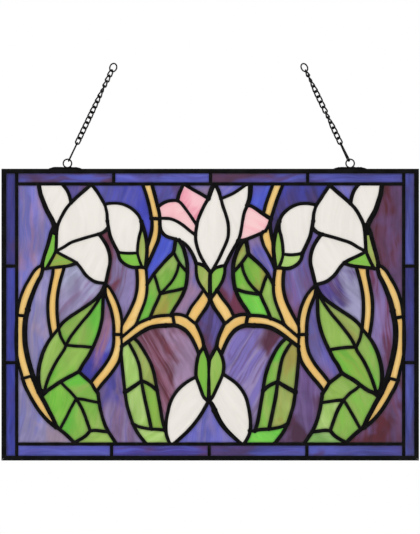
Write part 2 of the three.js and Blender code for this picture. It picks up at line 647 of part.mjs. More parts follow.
// The lead: whole lines right through, and the lines inside a flower, leaf or stem as a bar on each face.
const barInner = halfGlass + CLEARANCE;
const pictureBox = box(innerLeft, innerBottom, innerRight, innerTop, -halfBead, halfBead);
const throughLead = wasm.Manifold.union([
  ring(0, -halfBead, halfBead),
  ...leads.map(([start, end, points]) =>
    prism(ribbon(points, start, end, 0), -halfBead, halfBead).intersect(pictureBox),
  ),
]);
const faceLead = [
  [-halfBead, -barInner],
  [barInner, halfBead],
].map(([front, back]) =>
  wasm.Manifold.union([
    ...veins.map(([start, end, points]) => prism(ribbon(points, start, end, 0), front, back)),
    ...borderJoints.map(([left, bottom, right, top]) => box(left, bottom, right, top, front, back)),
  ]),
);
const leadwork = wasm.Manifold.union([throughLead, ...faceLead]).asOriginal().simplify(LEAD_TOLERANCE);

// The glass: one sheet cut apart along the whole lines, with a gap all round.
const sheet = box(
  panelLeft + RAIL_FACE - GLASS_UNDER_RAIL,
  panelBottom + RAIL_FACE - GLASS_UNDER_RAIL,
  panelRight - RAIL_FACE + GLASS_UNDER_RAIL,
  panelTop - RAIL_FACE + GLASS_UNDER_RAIL,
  -halfGlass,
  halfGlass,
);
const cutDepth = GLASS_THICKNESS;
const cutBox = box(innerLeft, innerBottom, innerRight, innerTop, -cutDepth, cutDepth);
const kerf = wasm.Manifold.union([
  ring(CLEARANCE, -cutDepth, cutDepth),
  ...leads.map(([start, end, points]) =>
    prism(ribbon(points, start, end, CLEARANCE), -cutDepth, cutDepth).intersect(cutBox),
  ),
]);
const pieces = sheet.subtract(kerf).decompose();

const metal = (name) =>
  new THREE.MeshStandardMaterial({ name, color: 0x141414, metalness: 0.6, roughness: 0.5 });
const seeThrough = { metalness: 0, roughness: 0.2, transparent: true, opacity: 0.8 };
const glass = (name, color) => new THREE.MeshStandardMaterial({ name, color, ...seeThrough });
const tint = (name) => {
  if (name.startsWith("flower") || name === "buds") return 0xe8e2da;
  if (name.startsWith("leaf")) return 0x86b84a;
  if (name.startsWith("stem")) return 0xe6bd62;
  if (name === "border_glass") return 0x3a3a96;
  return 0x7f78b4;
};

const window3d = new THREE.Group();
function add(name, solid, material) {
  const mesh = new THREE.Mesh(geometryOf(solid), material);
  mesh.name = name;
  window3d.add(mesh);
}

// Picks the piece of glass that a point lies in.
function pieceAt(point) {
  const [x, z] = onPanel(point);
  const probe = box(x - PROBE_SIZE, z - PROBE_SIZE, x + PROBE_SIZE, z + PROBE_SIZE, -halfGlass, halfGlass);
  return pieces.findIndex((piece) => piece.intersect(probe).volume() > 0);
}
const names = [
  ...sideGlass.map(([name, point]) => [`${name}_left`, point]),
  ...sideGlass.map(([name, point]) => [`${name}_right`, mirrored(point)]),
  ...middleGlass,
  ["border_glass", [10, 220]],
];
const taken = new Set();
names.forEach(([name, point]) => {
  const index = pieceAt(point);
  if (index < 0 || taken.has(index)) throw new Error(`${name} has no glass of its own`);
  taken.add(index);
  add(name, pieces[index].asOriginal().simplify(GLASS_TOLERANCE), glass(name, tint(name)));
});

// The frame: a U channel round the panel, open inwards, where the border glass sits.
const lipIn = panelLeft + RAIL_WALL;
const frame = box(panelLeft, panelBottom, panelRight, panelTop, -RAIL_DEPTH / 2, RAIL_DEPTH / 2)
  .subtract(
    box(
      panelLeft + RAIL_FACE,
      panelBottom + RAIL_FACE,
      panelRight - RAIL_FACE,
      panelTop - RAIL_FACE,
      -RAIL_DEPTH,
      RAIL_DEPTH,
    ),
  )
  .subtract(
    box(
      lipIn,
      panelBottom + RAIL_WALL,
      -lipIn,
      panelTop - RAIL_WALL,
      -halfGlass - CLEARANCE,
      halfGlass + CLEARANCE,
    ),
  );
add("frame", frame, metal("frame"));
add("leadwork", leadwork, metal("leadwork"));

// A link bent from wire: a flat oval ring round the origin, long along z and turned about z.
function link(length, width, wire, turn, sides) {
  const bend = width / 2 - wire;
  const corner = bend / Math.cos(Math.PI / sides);
  const straight = length / 2 - wire - bend;
  const path = [];
  for (let i = 0; i < sides; i += 1) {
    const angle = ((i + 0.5) / sides) * 2 * Math.PI;
    const shift = Math.sin(angle) > 0 ? straight : -straight;
    path.push([corner * Math.cos(angle), corner * Math.sin(angle) + shift]);
  }
  const outward = (i) => {
    const [ax, az] = path[(i + sides - 1) % sides];
    const [bx, bz] = path[(i + 1) % sides];
    const size = Math.hypot(bx - ax, bz - az);
    return [(bz - az) / size, (ax - bx) / size];
  };
  const positions = [];
  path.forEach(([x, z], i) => {
    const [nx, nz] = outward(i);
    for (let k = 0; k < WIRE_SIDES; k += 1) {
      const around = (k / WIRE_SIDES) * 2 * Math.PI;
      const reach = wire * Math.cos(around);
      positions.push(x + nx * reach, wire * Math.sin(around), z + nz * reach);
    }
  });
  const index = [];
  for (let i = 0; i < sides; i += 1) {
    const next = (i + 1) % sides;
    for (let k = 0; k < WIRE_SIDES; k += 1) {
      const up = (k + 1) % WIRE_SIDES;
      const a = i * WIRE_SIDES + k;
      const b = next * WIRE_SIDES + k;
      const c = next * WIRE_SIDES + up;
      const d = i * WIRE_SIDES + up;
      index.push(a, c, b, a, d, c);
    }
  }
  const geometry = new THREE.BufferGeometry();
  geometry.setAttribute("position", new THREE.Float32BufferAttribute(positions, 3));
  geometry.setIndex(index);
  geometry.rotateZ(turn);
  return geometry;
}

// Hanging gear of one side: a solder patch with a wire loop on the top rail, and the chain above it.
function hangingGear(side, label, hanger) {
  const loopX = side * (PANEL_WIDTH / 2 - hanger.fromEdge);
  const patchX = loopX + hanger.patchShift;
  const loopZ = panelTop + LOOP_RISE;
  const base = panelTop + CLEARANCE;
  const patch = prism(
    [
      [patchX - PATCH_LENGTH / 2, base],
      [patchX + PATCH_LENGTH / 2, base],
      [patchX + PATCH_LENGTH / 2 - PATCH_TAPER, base + PATCH_RISE],
      [patchX - PATCH_LENGTH / 2 + PATCH_TAPER, base + PATCH_RISE],
    ],
    -PATCH_DEPTH / 2,
    PATCH_DEPTH / 2,
  );
  const loopSize = 2 * (LOOP_RADIUS + LOOP_WIRE);
  const loop = link(loopSize, loopSize, LOOP_WIRE, 0, RING_SIDES);
  loop.translate(loopX, 0, loopZ);
  add(`hanger_${label}`, patch.add(solidOf(loop)), metal("hanger"));

  // Each part of the chain stands at a distance along the chain's line from the loop's middle.
  const along = (geometry, distance) => {
    geometry.rotateY(-side * Math.asin(CHAIN_LEAN));
    geometry.translate(loopX - side * chainDirection[0] * distance, 0, loopZ + chainDirection[1] * distance);
    return solidOf(geometry);
  };
  const clipFoot = LOOP_RADIUS - 2 * LOOP_WIRE - 2 * CLEARANCE;
  const clipHead = FIRST_LINK - CHAIN_PITCH / 2 + CHAIN_WIRE - LINK_BITE;
  const clipLength = clipHead - clipFoot + 2 * CHAIN_WIRE;
  const linkLength = CHAIN_PITCH + 4 * CHAIN_WIRE - LINK_BITE;
  const clip = link(clipLength, hanger.clipWidth, CHAIN_WIRE, hanger.clipTurn, LINK_SIDES);
  const parts = [along(clip, (clipFoot + clipHead) / 2)];
  for (let i = 0; i < CHAIN_LINKS; i += 1) {
    const turn = i % 2 === 0 ? LINK_TURN : -LINK_TURN;
    const oneLink = link(linkLength, CHAIN_LINK_WIDTH, CHAIN_WIRE, turn, LINK_SIDES);
    parts.push(along(oneLink, FIRST_LINK + i * CHAIN_PITCH));
  }
  const ringSize = 2 * (END_RING_RADIUS + END_RING_WIRE);
  parts.push(along(link(ringSize, ringSize, END_RING_WIRE, LINK_TURN, RING_SIDES), endRingReach));
  add(`chain_${label}`, wasm.Manifold.union(parts), metal("chain"));
}
hangingGear(-1, "left", leftHanger);
hangingGear(1, "right", rightHanger);

export default window3d;
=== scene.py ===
# %% [markdown]
# # A hanging stained glass panel
#
# This lesson dresses a plain solid model of a leaded glass panel: panes of streaky glass, rounded
# solder lines between them, a black channel frame, and two chains that carry it.
# The solid model gives the places and the sizes. Everything here is in metres, in the model's own frame:
# x runs to the viewer's right, y away from the viewer through the panel, and z up. The front faces -y.

# %% Load the solid model
import math

import bpy
import numpy as np
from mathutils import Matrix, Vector, noise
from mathutils.geometry import delaunay_2d_cdt
from mathutils.kdtree import KDTree


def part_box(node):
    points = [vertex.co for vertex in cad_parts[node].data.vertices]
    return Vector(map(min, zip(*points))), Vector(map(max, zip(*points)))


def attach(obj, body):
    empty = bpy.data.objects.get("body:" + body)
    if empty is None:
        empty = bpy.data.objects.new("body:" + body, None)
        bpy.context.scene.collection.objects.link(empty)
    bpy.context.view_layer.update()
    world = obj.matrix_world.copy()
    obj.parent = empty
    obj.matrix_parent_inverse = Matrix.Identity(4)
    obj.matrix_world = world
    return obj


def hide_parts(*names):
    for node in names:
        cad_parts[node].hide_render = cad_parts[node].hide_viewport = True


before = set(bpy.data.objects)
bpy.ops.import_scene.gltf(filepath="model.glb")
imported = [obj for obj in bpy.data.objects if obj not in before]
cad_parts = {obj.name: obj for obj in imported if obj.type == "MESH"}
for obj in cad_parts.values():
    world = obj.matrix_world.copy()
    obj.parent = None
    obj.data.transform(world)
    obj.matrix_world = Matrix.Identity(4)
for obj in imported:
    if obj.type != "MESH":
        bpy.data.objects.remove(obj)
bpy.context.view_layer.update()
MM = 0.001

# %% [markdown]
# ## The cartoon
#
# A glass artist first draws a cartoon: a full-size drawing of every lead line. The panes are cut to it,
# so the whole panel follows from these lines. Here each line has a name, its width at both ends, and the
# points that it runs through. They are counted in squares of the drawing, x to the right and y down,
# and one square is 508 mm / 417.2 on the real panel. Only the left half is drawn. The right half is the
# same drawing turned over, with a few places where the hand-cut glass drifts from it.

# %% Sizes of the panel, and the cartoon's place on it
PANEL_WIDTH = 508 * MM
CARTOON_WIDTH = 417.2
CARTOON_CENTRE = (210.2, 314.6)
SQUARE = PANEL_WIDTH / CARTOON_WIDTH
FRAME_LOW, FRAME_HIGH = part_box("frame")
PANEL_MIDDLE = (FRAME_LOW.z + FRAME_HIGH.z) / 2
GLASS_THICKNESS = 3 * MM
BEAD_THICKNESS = 5.6 * MM

# The right half's drifts: the point, the drift's reach, and how far it moves lines right and down.
DRIFTS = [
    [330, 198, 18, 1.3, 1.7],
    [369, 212, 22, 1.8, 0.4],
    [362, 248, 14, 1.5, 0.2],
    [290, 258, 16, 0.3, 1.7],
    [311, 284, 10, 0.9, 1.3],
    [246, 247, 12, 1.8, 1.8],
    [264, 268, 12, 1.4, -0.6],
    [246, 292, 14, 0.2, 1.6],
    [330, 349, 13, 1.4, 2.4],
    [356, 346, 12, 1.3, 1.9],
    [344, 374, 10, 0.4, 1.6],
    [364, 385, 13, 0.5, 4],
    [342, 402, 13, -0.6, 1.3],
    [276, 382, 13, -1.4, 1.1],
    [285, 353, 12, -1.7, 0.4],
    [396, 317, 9, 0, 2.6],
    [392, 378, 8, 0, 3.2],
]


def on_panel(point):
    """A point of the cartoon as x and z on the panel."""
    return np.array([
        (point[0] - CARTOON_CENTRE[0]) * SQUARE,
        PANEL_MIDDLE + (CARTOON_CENTRE[1] - point[1]) * SQUARE,
    ])


def turned_over(point):
    """The same point on the right half."""
    across, down = 2 * CARTOON_CENTRE[0] - point[0], point[1]
    moved = [across, down]
    for x, y, reach, right, lower in DRIFTS:
        share = math.exp(-((across - x) ** 2 + (down - y) ** 2) / reach**2)
        moved[0] += right * share
        moved[1] += lower * share
    return moved


print("one square is", round(SQUARE / MM, 3), "mm; the panel's middle is at z", round(PANEL_MIDDLE, 4))

# %% Lines between the panes of the left half, repeated on the right
SIDE_LEADS = [
    ["outer petal, outside", 3.8, 4.6, [38.8, 184.3], [40.6, 194], [42.8, 200], [46.8, 210], [52.2, 220],
     [54.5, 226]],
    ["left sepal, outside", 3.6, 3, [54.5, 226], [51.5, 232], [49.8, 238], [47.3, 247], [44.3, 256],
     [42.2, 264.5]],
    ["outer petal, inside", 2.8, 2.8, [62.5, 184.3], [66.8, 190], [69.5, 196], [71, 202.6]],
    ["great petal, left top", 3.2, 3, [91.5, 184.3], [84.5, 190.5], [78, 196.2], [71, 202.8]],
    ["great petal, right top", 2.8, 2.6, [91.5, 184.3], [97, 191.5], [101, 198], [105, 205]],
    ["right petal, top", 2.2, 2.6, [105, 204.2], [112, 203.3], [120, 203.7], [127, 206], [133, 209.7],
     [138.4, 215.3], [141.3, 221.5]],
    ["right petal, left", 3, 3, [107.4, 221], [108.6, 228], [110.3, 236], [113.3, 243], [118, 252]],
    ["great petal, heel", 2.8, 3.2, [98, 234.4], [103, 232.5], [107.4, 229]],
    ["low petal, right", 3, 3, [99.5, 234.6], [103.5, 240.3], [107.3, 247], [109.7, 255], [110, 263],
     [108.3, 271], [105.6, 284]],
    ["low petal, under", 2.6, 2.8, [76.5, 262.8], [80.5, 267.5], [85.5, 274.5], [90.5, 279], [96, 282],
     [104.8, 283.4]],
    ["small sepal, under", 2.6, 2.6, [43.5, 268.8], [52, 267.8], [60, 266.9], [68, 265.9], [76.5, 263.4]],
    ["right sepal, under", 2.6, 2.8, [118, 252.4], [119.7, 258.5], [123.5, 263], [128.5, 266],
     [134, 267.4], [141.5, 267.2], [146, 268]],
    ["slender sepal, outside", 3.4, 3, [141.3, 221.5], [143.8, 229], [146, 238], [147, 247], [146.8, 256],
     [145.4, 267.6]],
    ["outer stem, left", 2.4, 2.4, [42.4, 265], [37.5, 267.7], [33.5, 272], [29.3, 279], [25, 286.5],
     [21.8, 294], [19.3, 302], [17.8, 310], [16.6, 322], [16, 335], [16.1, 345], [16.8, 354], [18.2, 362],
     [20.5, 370.5], [22.6, 378]],
    ["outer stem, left, low", 2.8, 3.2, [22.6, 378], [25, 385.5], [28.6, 393], [33, 401], [38, 409],
     [43.5, 416], [49, 421.7], [56, 427.3]],
    ["outer stem, right, top", 3, 4.6, [42.4, 265], [42.6, 270], [40.8, 276.5], [38.5, 280.5], [35, 288],
     [32.3, 295], [29.8, 302], [27.8, 309.5]],
    ["outer stem, right, bend", 4.8, 4.6, [27.8, 309.5], [25.8, 318], [24.9, 327], [24.8, 336],
     [25.4, 345], [26.8, 353], [28.8, 362], [33.5, 377.5]],
    ["outer stem, right, low", 4.4, 3.4, [33.5, 377.5], [38.5, 391], [42.5, 398.5], [46, 405],
     [49.5, 412], [53, 418.5], [57, 427.3]],
    ["solder pool by the stem", 5, 6, [34.6, 379.5], [40, 391.5]],
    ["inner stem, left", 2.6, 2.6, [53.4, 268], [52.7, 275], [51.2, 282], [49.7, 290], [48.4, 298],
     [47.9, 306], [48.2, 315], [49, 323], [51.5, 336.6]],
    ["inner stem, right", 2.6, 2.8, [64.5, 266.5], [62.9, 272], [60.5, 280.5], [58.7, 288.5], [57.4, 297],
     [57, 306], [57.2, 315], [58.6, 328.4]],
    ["great leaf, top", 3.2, 2.6, [105, 284.5], [100.5, 293.5], [94, 300.3], [86, 306.2], [78, 311.5],
     [70, 316.8], [63, 322.5], [58.6, 328.4]],
    ["great leaf, left", 2.4, 4, [58.6, 328.4], [50.5, 338.5], [46.5, 345], [43.2, 352], [41, 359],
     [39.3, 366], [38.4, 374], [38.6, 382], [40.3, 391.5]],
    ["great leaf, right", 2.6, 3, [105, 285], [103.3, 296], [102.6, 313], [101.7, 321], [99.2, 331.5],
     [96, 340.5], [92.3, 348.5], [88.3, 356.5], [83.5, 363.5], [79, 371.6]],
    ["great leaf, foot", 3.2, 3.2, [79, 371.6], [74, 374.3], [67, 378], [60, 382], [53, 386.7], [47, 391],
     [42, 396]],
    ["low leaf, shoulder", 2.8, 2.8, [79, 371.8], [85.5, 377.8], [91, 382.7], [94.2, 388], [98, 393.5]],
    ["low leaf, right", 2.8, 2.8, [98, 393.5], [99.3, 403], [100.6, 410], [102.7, 418], [105.5, 426],
     [109, 432.5], [116, 443.2]],
    ["low leaf, left foot", 3, 3, [55.5, 426.5], [60.5, 430], [66, 434.5], [75, 443.2]],
    ["right stem, left", 2.6, 2.6, [105.2, 284.5], [105.6, 294], [108.3, 302], [110.8, 309], [112.7, 317],
     [113.7, 325], [113.9, 334.5], [113.6, 344], [111.6, 352.5], [108, 360], [103.3, 367], [97, 374.7],
     [91, 382.3]],
    ["right stem, right, top", 2.4, 2.4, [105.6, 284], [110, 288.5], [114.5, 296], [118, 304],
     [120.5, 312], [122.2, 322.5]],
    ["right stem, right, low", 2.6, 2.8, [121.8, 346.3], [121, 353], [119, 361], [115, 368],
     [109.3, 375.7], [103, 383], [97, 390.5]],
    ["mid stem, left", 2.8, 2.6, [136.5, 268], [137.3, 276], [137.4, 284], [136.6, 292], [134.3, 300.5],
     [130.3, 309.5], [125.8, 318], [122.2, 324]],
    ["mid stem, right", 2.4, 2.2, [146, 268], [147, 281], [147, 290], [145.6, 299], [142.8, 307.5],
     [139.3, 316], [136, 324.8]],
    ["arch, top, left", 2.4, 2.6, [136, 324.8], [139.5, 322.7], [145, 320.2], [152, 317.4], [160, 315.9],
     [168, 315.3], [176, 314.3], [181, 314.8], [186.6, 316.6]],
    ["arch, top, right", 2.6, 2.8, [195.8, 323.4], [200.2, 333], [202.5, 339.5], [203.8, 346.5]],
    ["arch, under", 3, 4, [121.8, 346.3], [129, 341], [136, 335.8], [143, 331.2], [150, 327.7],
     [158, 326], [166, 325.6]],
    ["arch, under, right", 4, 2.8, [166, 325.6], [174, 325.3], [180, 327], [186, 330.8], [191, 337],
     [195, 344.5], [198.6, 353]],
    ["slanted stem, left", 2.4, 2.4, [203.6, 289.8], [198, 298.2], [191.3, 307], [186.4, 316.6]],
    ["slanted stem, right", 3, 2.8, [210.2, 299.4], [206.3, 307.5], [200.5, 316], [195.8, 323.4]],
    ["middle leaf, tip", 3.4, 2.4, [175.6, 239.4], [174.7, 246], [173.2, 252.5], [168, 258], [162, 264.5],
     [156, 271.5], [151.5, 277.5], [147, 285]],
    ["middle leaf, right", 3.4, 3, [179, 240.2], [182.9, 247], [185.4, 255], [187, 263], [187.4, 271],
     [187, 279], [185.8, 286], [183, 294], [179, 301.5], [174.5, 308.5], [170.6, 315.4]],
    ["spray leaf, left", 2.6, 2.8, [121, 353], [122.8, 371], [124.6, 388], [126.8, 404], [129, 412],
     [131.5, 420], [134.5, 427], [138.5, 434], [145.5, 443.2]],
    ["spray leaf, right", 2.6, 2.8, [133.5, 337.8], [138, 342], [142.5, 348.5], [147, 356],
     [150.8, 363.5], [153.5, 371.5], [155.3, 380], [157.6, 393], [160, 406], [162.8, 422], [165.5, 431]],
]

# %% Lines inside one flower, leaf or stem of the left half, repeated on the right
SIDE_VEINS = [
    ["great petal, left", 2.6, 2.8, [71, 202.8], [66, 209], [62, 216], [58.3, 224], [56.8, 232],
     [56.5, 240], [56, 251]],
    ["slender against small sepal", 2.4, 2.6, [56, 251], [53.5, 256], [50.5, 261.5], [46.5, 268.5]],
    ["great petal, low edge", 2.3, 2.6, [56, 251.3], [64, 247], [71, 242.6], [80, 239.5], [90, 236.5],
     [98, 234.4]],
    ["low petal against small sepal", 2.4, 2.6, [56, 251.5], [64, 255.9], [71, 259.5], [76.5, 262.8]],
    ["great petal, right", 2.2, 2.8, [105, 205], [106.9, 213], [107.4, 221]],
    ["right petal, foot", 2.2, 2.2, [118, 252.2], [123, 253], [130, 253.3], [137.4, 252.9]],
    ["right petal, right", 2.6, 2.2, [141.3, 221.5], [141.2, 229], [139.4, 236], [138, 244],
     [137.4, 252.9]],
    ["right sepals", 2, 2.2, [137.4, 252.9], [139.2, 259.5], [142.2, 267.2]],
    ["outer stem, high joint", 2.4, 2.4, [16.9, 315.2], [26.2, 315.9]],
    ["outer stem, low joint", 2.2, 2.2, [22.3, 378.6], [32.6, 375.6]],
    ["great leaf, midrib", 2.2, 2.6, [103.4, 291], [98.5, 300], [94, 307], [88.5, 314.5], [82.5, 321.5],
     [76.5, 329], [70.5, 337], [66.3, 344.8], [64, 350], [57.4, 360], [52, 370], [47.7, 380],
     [43.4, 394.5]],
    ["great leaf, left vein", 2.2, 2.2, [58.6, 328.4], [61, 337], [65.8, 345.4]],
    ["great leaf, right vein", 2.4, 2.4, [66.3, 345], [75, 346], [84, 346.5], [92.8, 347.5]],
    ["low leaf, upper left vein", 2.2, 2.2, [60.6, 381.8], [65.5, 387], [70.5, 391.8], [76.3, 398.6]],
    ["low leaf, right vein", 2.2, 2.2, [76.3, 398.6], [83, 399.3], [90, 400.8], [99.2, 402.6]],
    ["low leaf, left stalk", 2.2, 2.2, [76.3, 398.6], [71.5, 407], [67, 416], [63, 423.5], [59.8, 429.4]],
    ["low leaf, middle stalk", 2.6, 2.6, [76.3, 398.6], [81.5, 407.5], [85.3, 416.5], [90.2, 430.6]],
    ["low leaf, foot", 2.6, 2.6, [90.2, 430.6], [96, 430.3], [101.5, 431], [108.2, 431.8]],
    ["low leaf, curl", 2.8, 2.8, [90.2, 430.6], [86, 435.5], [80, 439.5], [74, 442.6]],
    ["right stem, joint", 2.6, 2.6, [113.9, 334.4], [121.4, 334.6]],
    ["right stem against mid stem", 2.2, 1.4, [122.2, 323.4], [121.4, 330], [121.4, 336], [121.8, 346.3]],
    ["mid stem against arch", 2.2, 2.4, [121.5, 337.5], [127.5, 332.3], [133.3, 327.4], [136, 324.8]],
    ["arch, joint", 2.8, 2.8, [172.6, 315], [174.6, 325.4]],
    ["slanted stem, foot", 2.4, 2.4, [186.4, 316.4], [192, 321], [196, 324]],
    ["middle leaf, upper right vein", 2.4, 2.4, [173.6, 252], [177, 258.8], [180.5, 264.5], [184.3, 269],
     [187.4, 272.6]],
    ["middle leaf, midrib", 2, 2.2, [178.8, 264], [177, 271.5], [172.8, 280], [167.5, 286.5],
     [160.3, 293.8]],
    ["middle leaf, left vein", 2.4, 2.2, [153.8, 274.2], [156.3, 281], [158.3, 288], [160.3, 293.8]],
    ["middle leaf, right vein", 2.6, 2.6, [160.3, 293.8], [168, 292], [176, 290.4], [185.6, 288]],
    ["middle leaf, stalk", 2.4, 2.8, [160.3, 293.8], [157.3, 301], [154, 308], [149.8, 318.4]],
    ["spray leaf, midrib", 2.4, 3, [128, 341.5], [131.5, 347.5], [135.3, 355], [138.5, 363], [140.2, 371],
     [141.4, 380.6], [144, 395], [148, 413], [151.4, 428.8]],
    ["spray leaf, left vein", 2.8, 4, [141.4, 380.8], [134, 386.3], [125.2, 392]],
    ["spray leaf, right vein", 2.8, 3, [141.4, 380.6], [147, 383], [152, 386], [157, 390.4]],
    ["spray leaf, foot", 2.4, 2.6, [132.4, 423.2], [138, 426.3], [145, 428.1], [152, 429], [160, 429.5],
     [165.5, 430.4]],
    ["outer petal, foot", 3.4, 4, [56, 225], [54.4, 232.5]],
]

# %% Lines of the middle flower, the upper stems and the buds
MIDDLE_LEADS = [
    ["upper left stem, left", 2.8, 3, [142.6, 184.3], [146, 194], [148.8, 204], [150.8, 214], [152, 221],
     [151.8, 230], [149.8, 238.5], [147, 247]],
    ["upper left stem, right", 3, 3.2, [151.8, 184.3], [154.8, 195], [157.3, 205], [159.4, 214],
     [159.9, 222], [159.8, 231], [158.3, 240], [155, 248], [151.5, 256], [146, 267.6]],
    ["rose petal, left", 2.8, 3.2, [183.4, 184.3], [180.9, 190], [178.8, 195], [177.6, 200.4]],
    ["rose petal, top", 2.8, 3, [184.6, 184.3], [190, 187.8], [196, 191.3], [203, 195.2], [208.4, 198.6]],
    ["pale petal, top", 2.8, 2.4, [158, 207], [163, 203.3], [169, 201], [177.6, 200.4]],
    ["milk petal, under", 2.8, 3.2, [159.8, 224], [161, 230], [163.7, 234.2], [168, 236.9], [176, 239.4],
     [182.5, 242.3], [187.5, 246.5], [191.3, 252], [194.3, 258], [196.2, 263.4]],
    ["left calyx, outside", 2.2, 2.8, [196.2, 263.4], [196.2, 270], [197, 277], [199, 282.7],
     [203.6, 289.8], [210.2, 299.4]],
    ["middle petal, tip left", 4.6, 4, [213.6, 184.3], [211.3, 190], [208.4, 198.6]],
    ["middle petal, tip right", 3.4, 3, [215.2, 184.3], [218.3, 190.5], [221, 198.8]],
    ["ivory petal, top", 2.4, 2.6, [221, 198.8], [227, 196.3], [233.5, 193.3], [240, 189],
     [246.6, 184.3]],
    ["ivory petal, right top", 4.8, 3.8, [250.4, 184.3], [250.2, 192], [249.3, 199], [247.3, 205.4]],
    ["ivory petal, right low", 2.8, 3.4, [238.2, 240.8], [233.5, 249], [229.5, 256.5], [224.8, 266]],
    ["blush petal, top", 2.8, 3.8, [247.3, 205.4], [251.5, 206.3], [257, 209.7], [263.5, 214.2],
     [270.8, 219]],
    ["blush petal, right", 3, 2.6, [270.8, 219], [268.6, 225.5], [265.4, 231]],
    ["blush petal, under", 3.4, 2.6, [238.2, 240.8], [244.5, 240], [251.5, 237.3], [258.5, 234.4],
     [265.4, 231]],
    ["right calyx, outside", 2.6, 2.8, [224.8, 266], [224.6, 273], [222.3, 281], [217, 290],
     [210.2, 299.4]],
    ["upper right stem, left", 2.6, 2.8, [273, 184.3], [269, 195], [265.8, 204], [263.4, 214]],
    ["upper right stem, right", 2.8, 3.2, [283, 184.3], [279.5, 193], [275.8, 203], [273, 212],
     [270.8, 219], [270.2, 226], [271, 233], [273.4, 244]],
    ["lower right stem, left", 2.6, 2.6, [263, 232], [261.3, 236.5], [263.5, 245], [266.6, 251],
     [269.8, 257], [274.4, 267.6]],
    ["left bud, left", 2.8, 2.8, [196, 377], [190.5, 379.8], [184.5, 383.8], [179, 388.7], [173.8, 395.5],
     [170, 403.5], [168, 411.5], [166.4, 419.5], [166, 428], [166.6, 435], [169.5, 443.2]],
    ["left bud, right", 3.2, 3, [208.8, 400.5], [205, 407.5], [201.3, 414], [197.3, 419.7],
     [192.8, 425.5], [187.5, 431.3], [182, 436.5], [174.5, 443.2]],
    ["right bud, right", 2.8, 3, [223, 374], [228.5, 377.7], [235, 382.3], [241, 388.8], [245.7, 397],
     [248, 405], [249.5, 413], [250.4, 421], [250.3, 429], [248.5, 436], [244.5, 443.2]],
    ["right bud, left", 3.4, 5, [209, 400.5], [212.3, 405], [214.5, 410.3]],
    ["right bud, left, low", 5, 3, [214.5, 410.3], [218.2, 418], [221.8, 424], [226.8, 430.3],
     [232, 435.5], [240.5, 443.2]],
    ["left bud sepal, outside", 2.8, 3, [203.8, 346.5], [198.6, 355], [196.6, 364.5], [196, 371],
     [196, 377]],
    ["right bud sepal, outside", 2.8, 3, [216.6, 346.5], [219.6, 351.5], [222.4, 358], [223.8, 365.5],
     [223, 374]],
    ["right bud, foot joint", 2.6, 3, [254.9, 431], [249.6, 430.6]],
    ["diamond, low left", 3, 3.6, [203.8, 346.5], [206.2, 352.5], [209, 360]],
    ["diamond, low right", 3, 3.6, [216.6, 346.5], [213, 353], [209, 360]],
]
MIDDLE_VEINS = [
    ["upper left stem, joint", 3, 3, [151.4, 218.5], [159.6, 218.9]],
    ["rose against pale petal", 2.4, 2.4, [177.6, 200.4], [181.5, 203.8], [186, 209.5], [190.5, 215.8],
     [196.6, 225]],
    ["pale against milk petal", 2.5, 2.6, [159.8, 218.4], [165, 218.4], [170.5, 218.9], [177, 221.4],
     [184, 226], [190, 231], [195.6, 235]],
    ["middle petal, left", 3, 2.6, [208.4, 198.6], [204.6, 205], [201, 212.5], [198, 220], [196.4, 228],
     [195.6, 236], [196.2, 243], [199, 252.5], [203.5, 261.5], [210.6, 272.6]],
    ["middle petal, right", 2.8, 2.6, [221, 198.8], [223, 206.5], [225.8, 214.5], [227.8, 222],
     [228.5, 229], [228.1, 236.5], [226.3, 242.5], [222.7, 250.5], [218.5, 259.5], [211, 272.6]],
    ["left calyx, top", 2.8, 2.8, [196.2, 263.4], [200.5, 264.3], [205, 266.8], [210.4, 272.6]],
    ["right calyx, top", 2.6, 2.6, [224.8, 265.4], [219, 266.8], [214.8, 268.6], [211, 272.6]],
    ["calyx, middle", 3.4, 4, [210.2, 271.5], [209.9, 285], [210.2, 299.4]],
    ["ivory against blush petal", 2.8, 2.6, [247.3, 205.4], [244.5, 212], [242.7, 220], [241.5, 228],
     [240, 235.5], [238.2, 240.8]],
    ["bud sepals", 4, 2, [209, 359], [208.8, 372]],
    ["bud sepals, low", 2, 4, [208.8, 372], [208.8, 388], [208.8, 401]],
    ["left bud against sepal", 2.8, 3, [196, 377], [199, 384.5], [201.3, 391], [203.8, 397],
     [208.6, 401.5]],
    ["right bud against sepal", 2.8, 3, [223, 374], [219.8, 381.3], [216.5, 388.5], [213, 396],
     [209, 401.5]],
]

# %% Straight lines round the picture, and the joints of the border
PICTURE_INSET, FOOT_INSET = 18.5 * MM, 20 * MM
STRAIGHT_LEAD = 3.4 * MM
# How many times wider the straight beads are than the gap between their panes.
STRAIGHT_SPREAD = 1.35
RAIL_FACE = 5.7 * MM
GLASS_UNDER_RAIL = 2.8 * MM
TOP_JOINTS = [113.8, 210.5, 307.5]
BOTTOM_JOINTS = [111.6, 209.2, 306.8]
SIDE_JOINTS = [266.1, 362.6]

# %% [markdown]
# ## From points to smooth lines
#
# A glass cutter's wheel leaves no corners, so each line is a smooth curve through its points. A
# Catmull-Rom spline passes through every point that is drawn, which a Bezier curve would not do without
# handles. The curve is then cut into steps of about a millimetre, fine enough to look round up close.

# %% A smooth curve through the points of a line
STEP = 1.3 * MM
STRAIGHT_STEP = 4 * MM
# How much wider a bead is than the gap between the panes, in squares, on the left and on the right.
LEFT_SPREAD, RIGHT_SPREAD = 1.15, 1.5


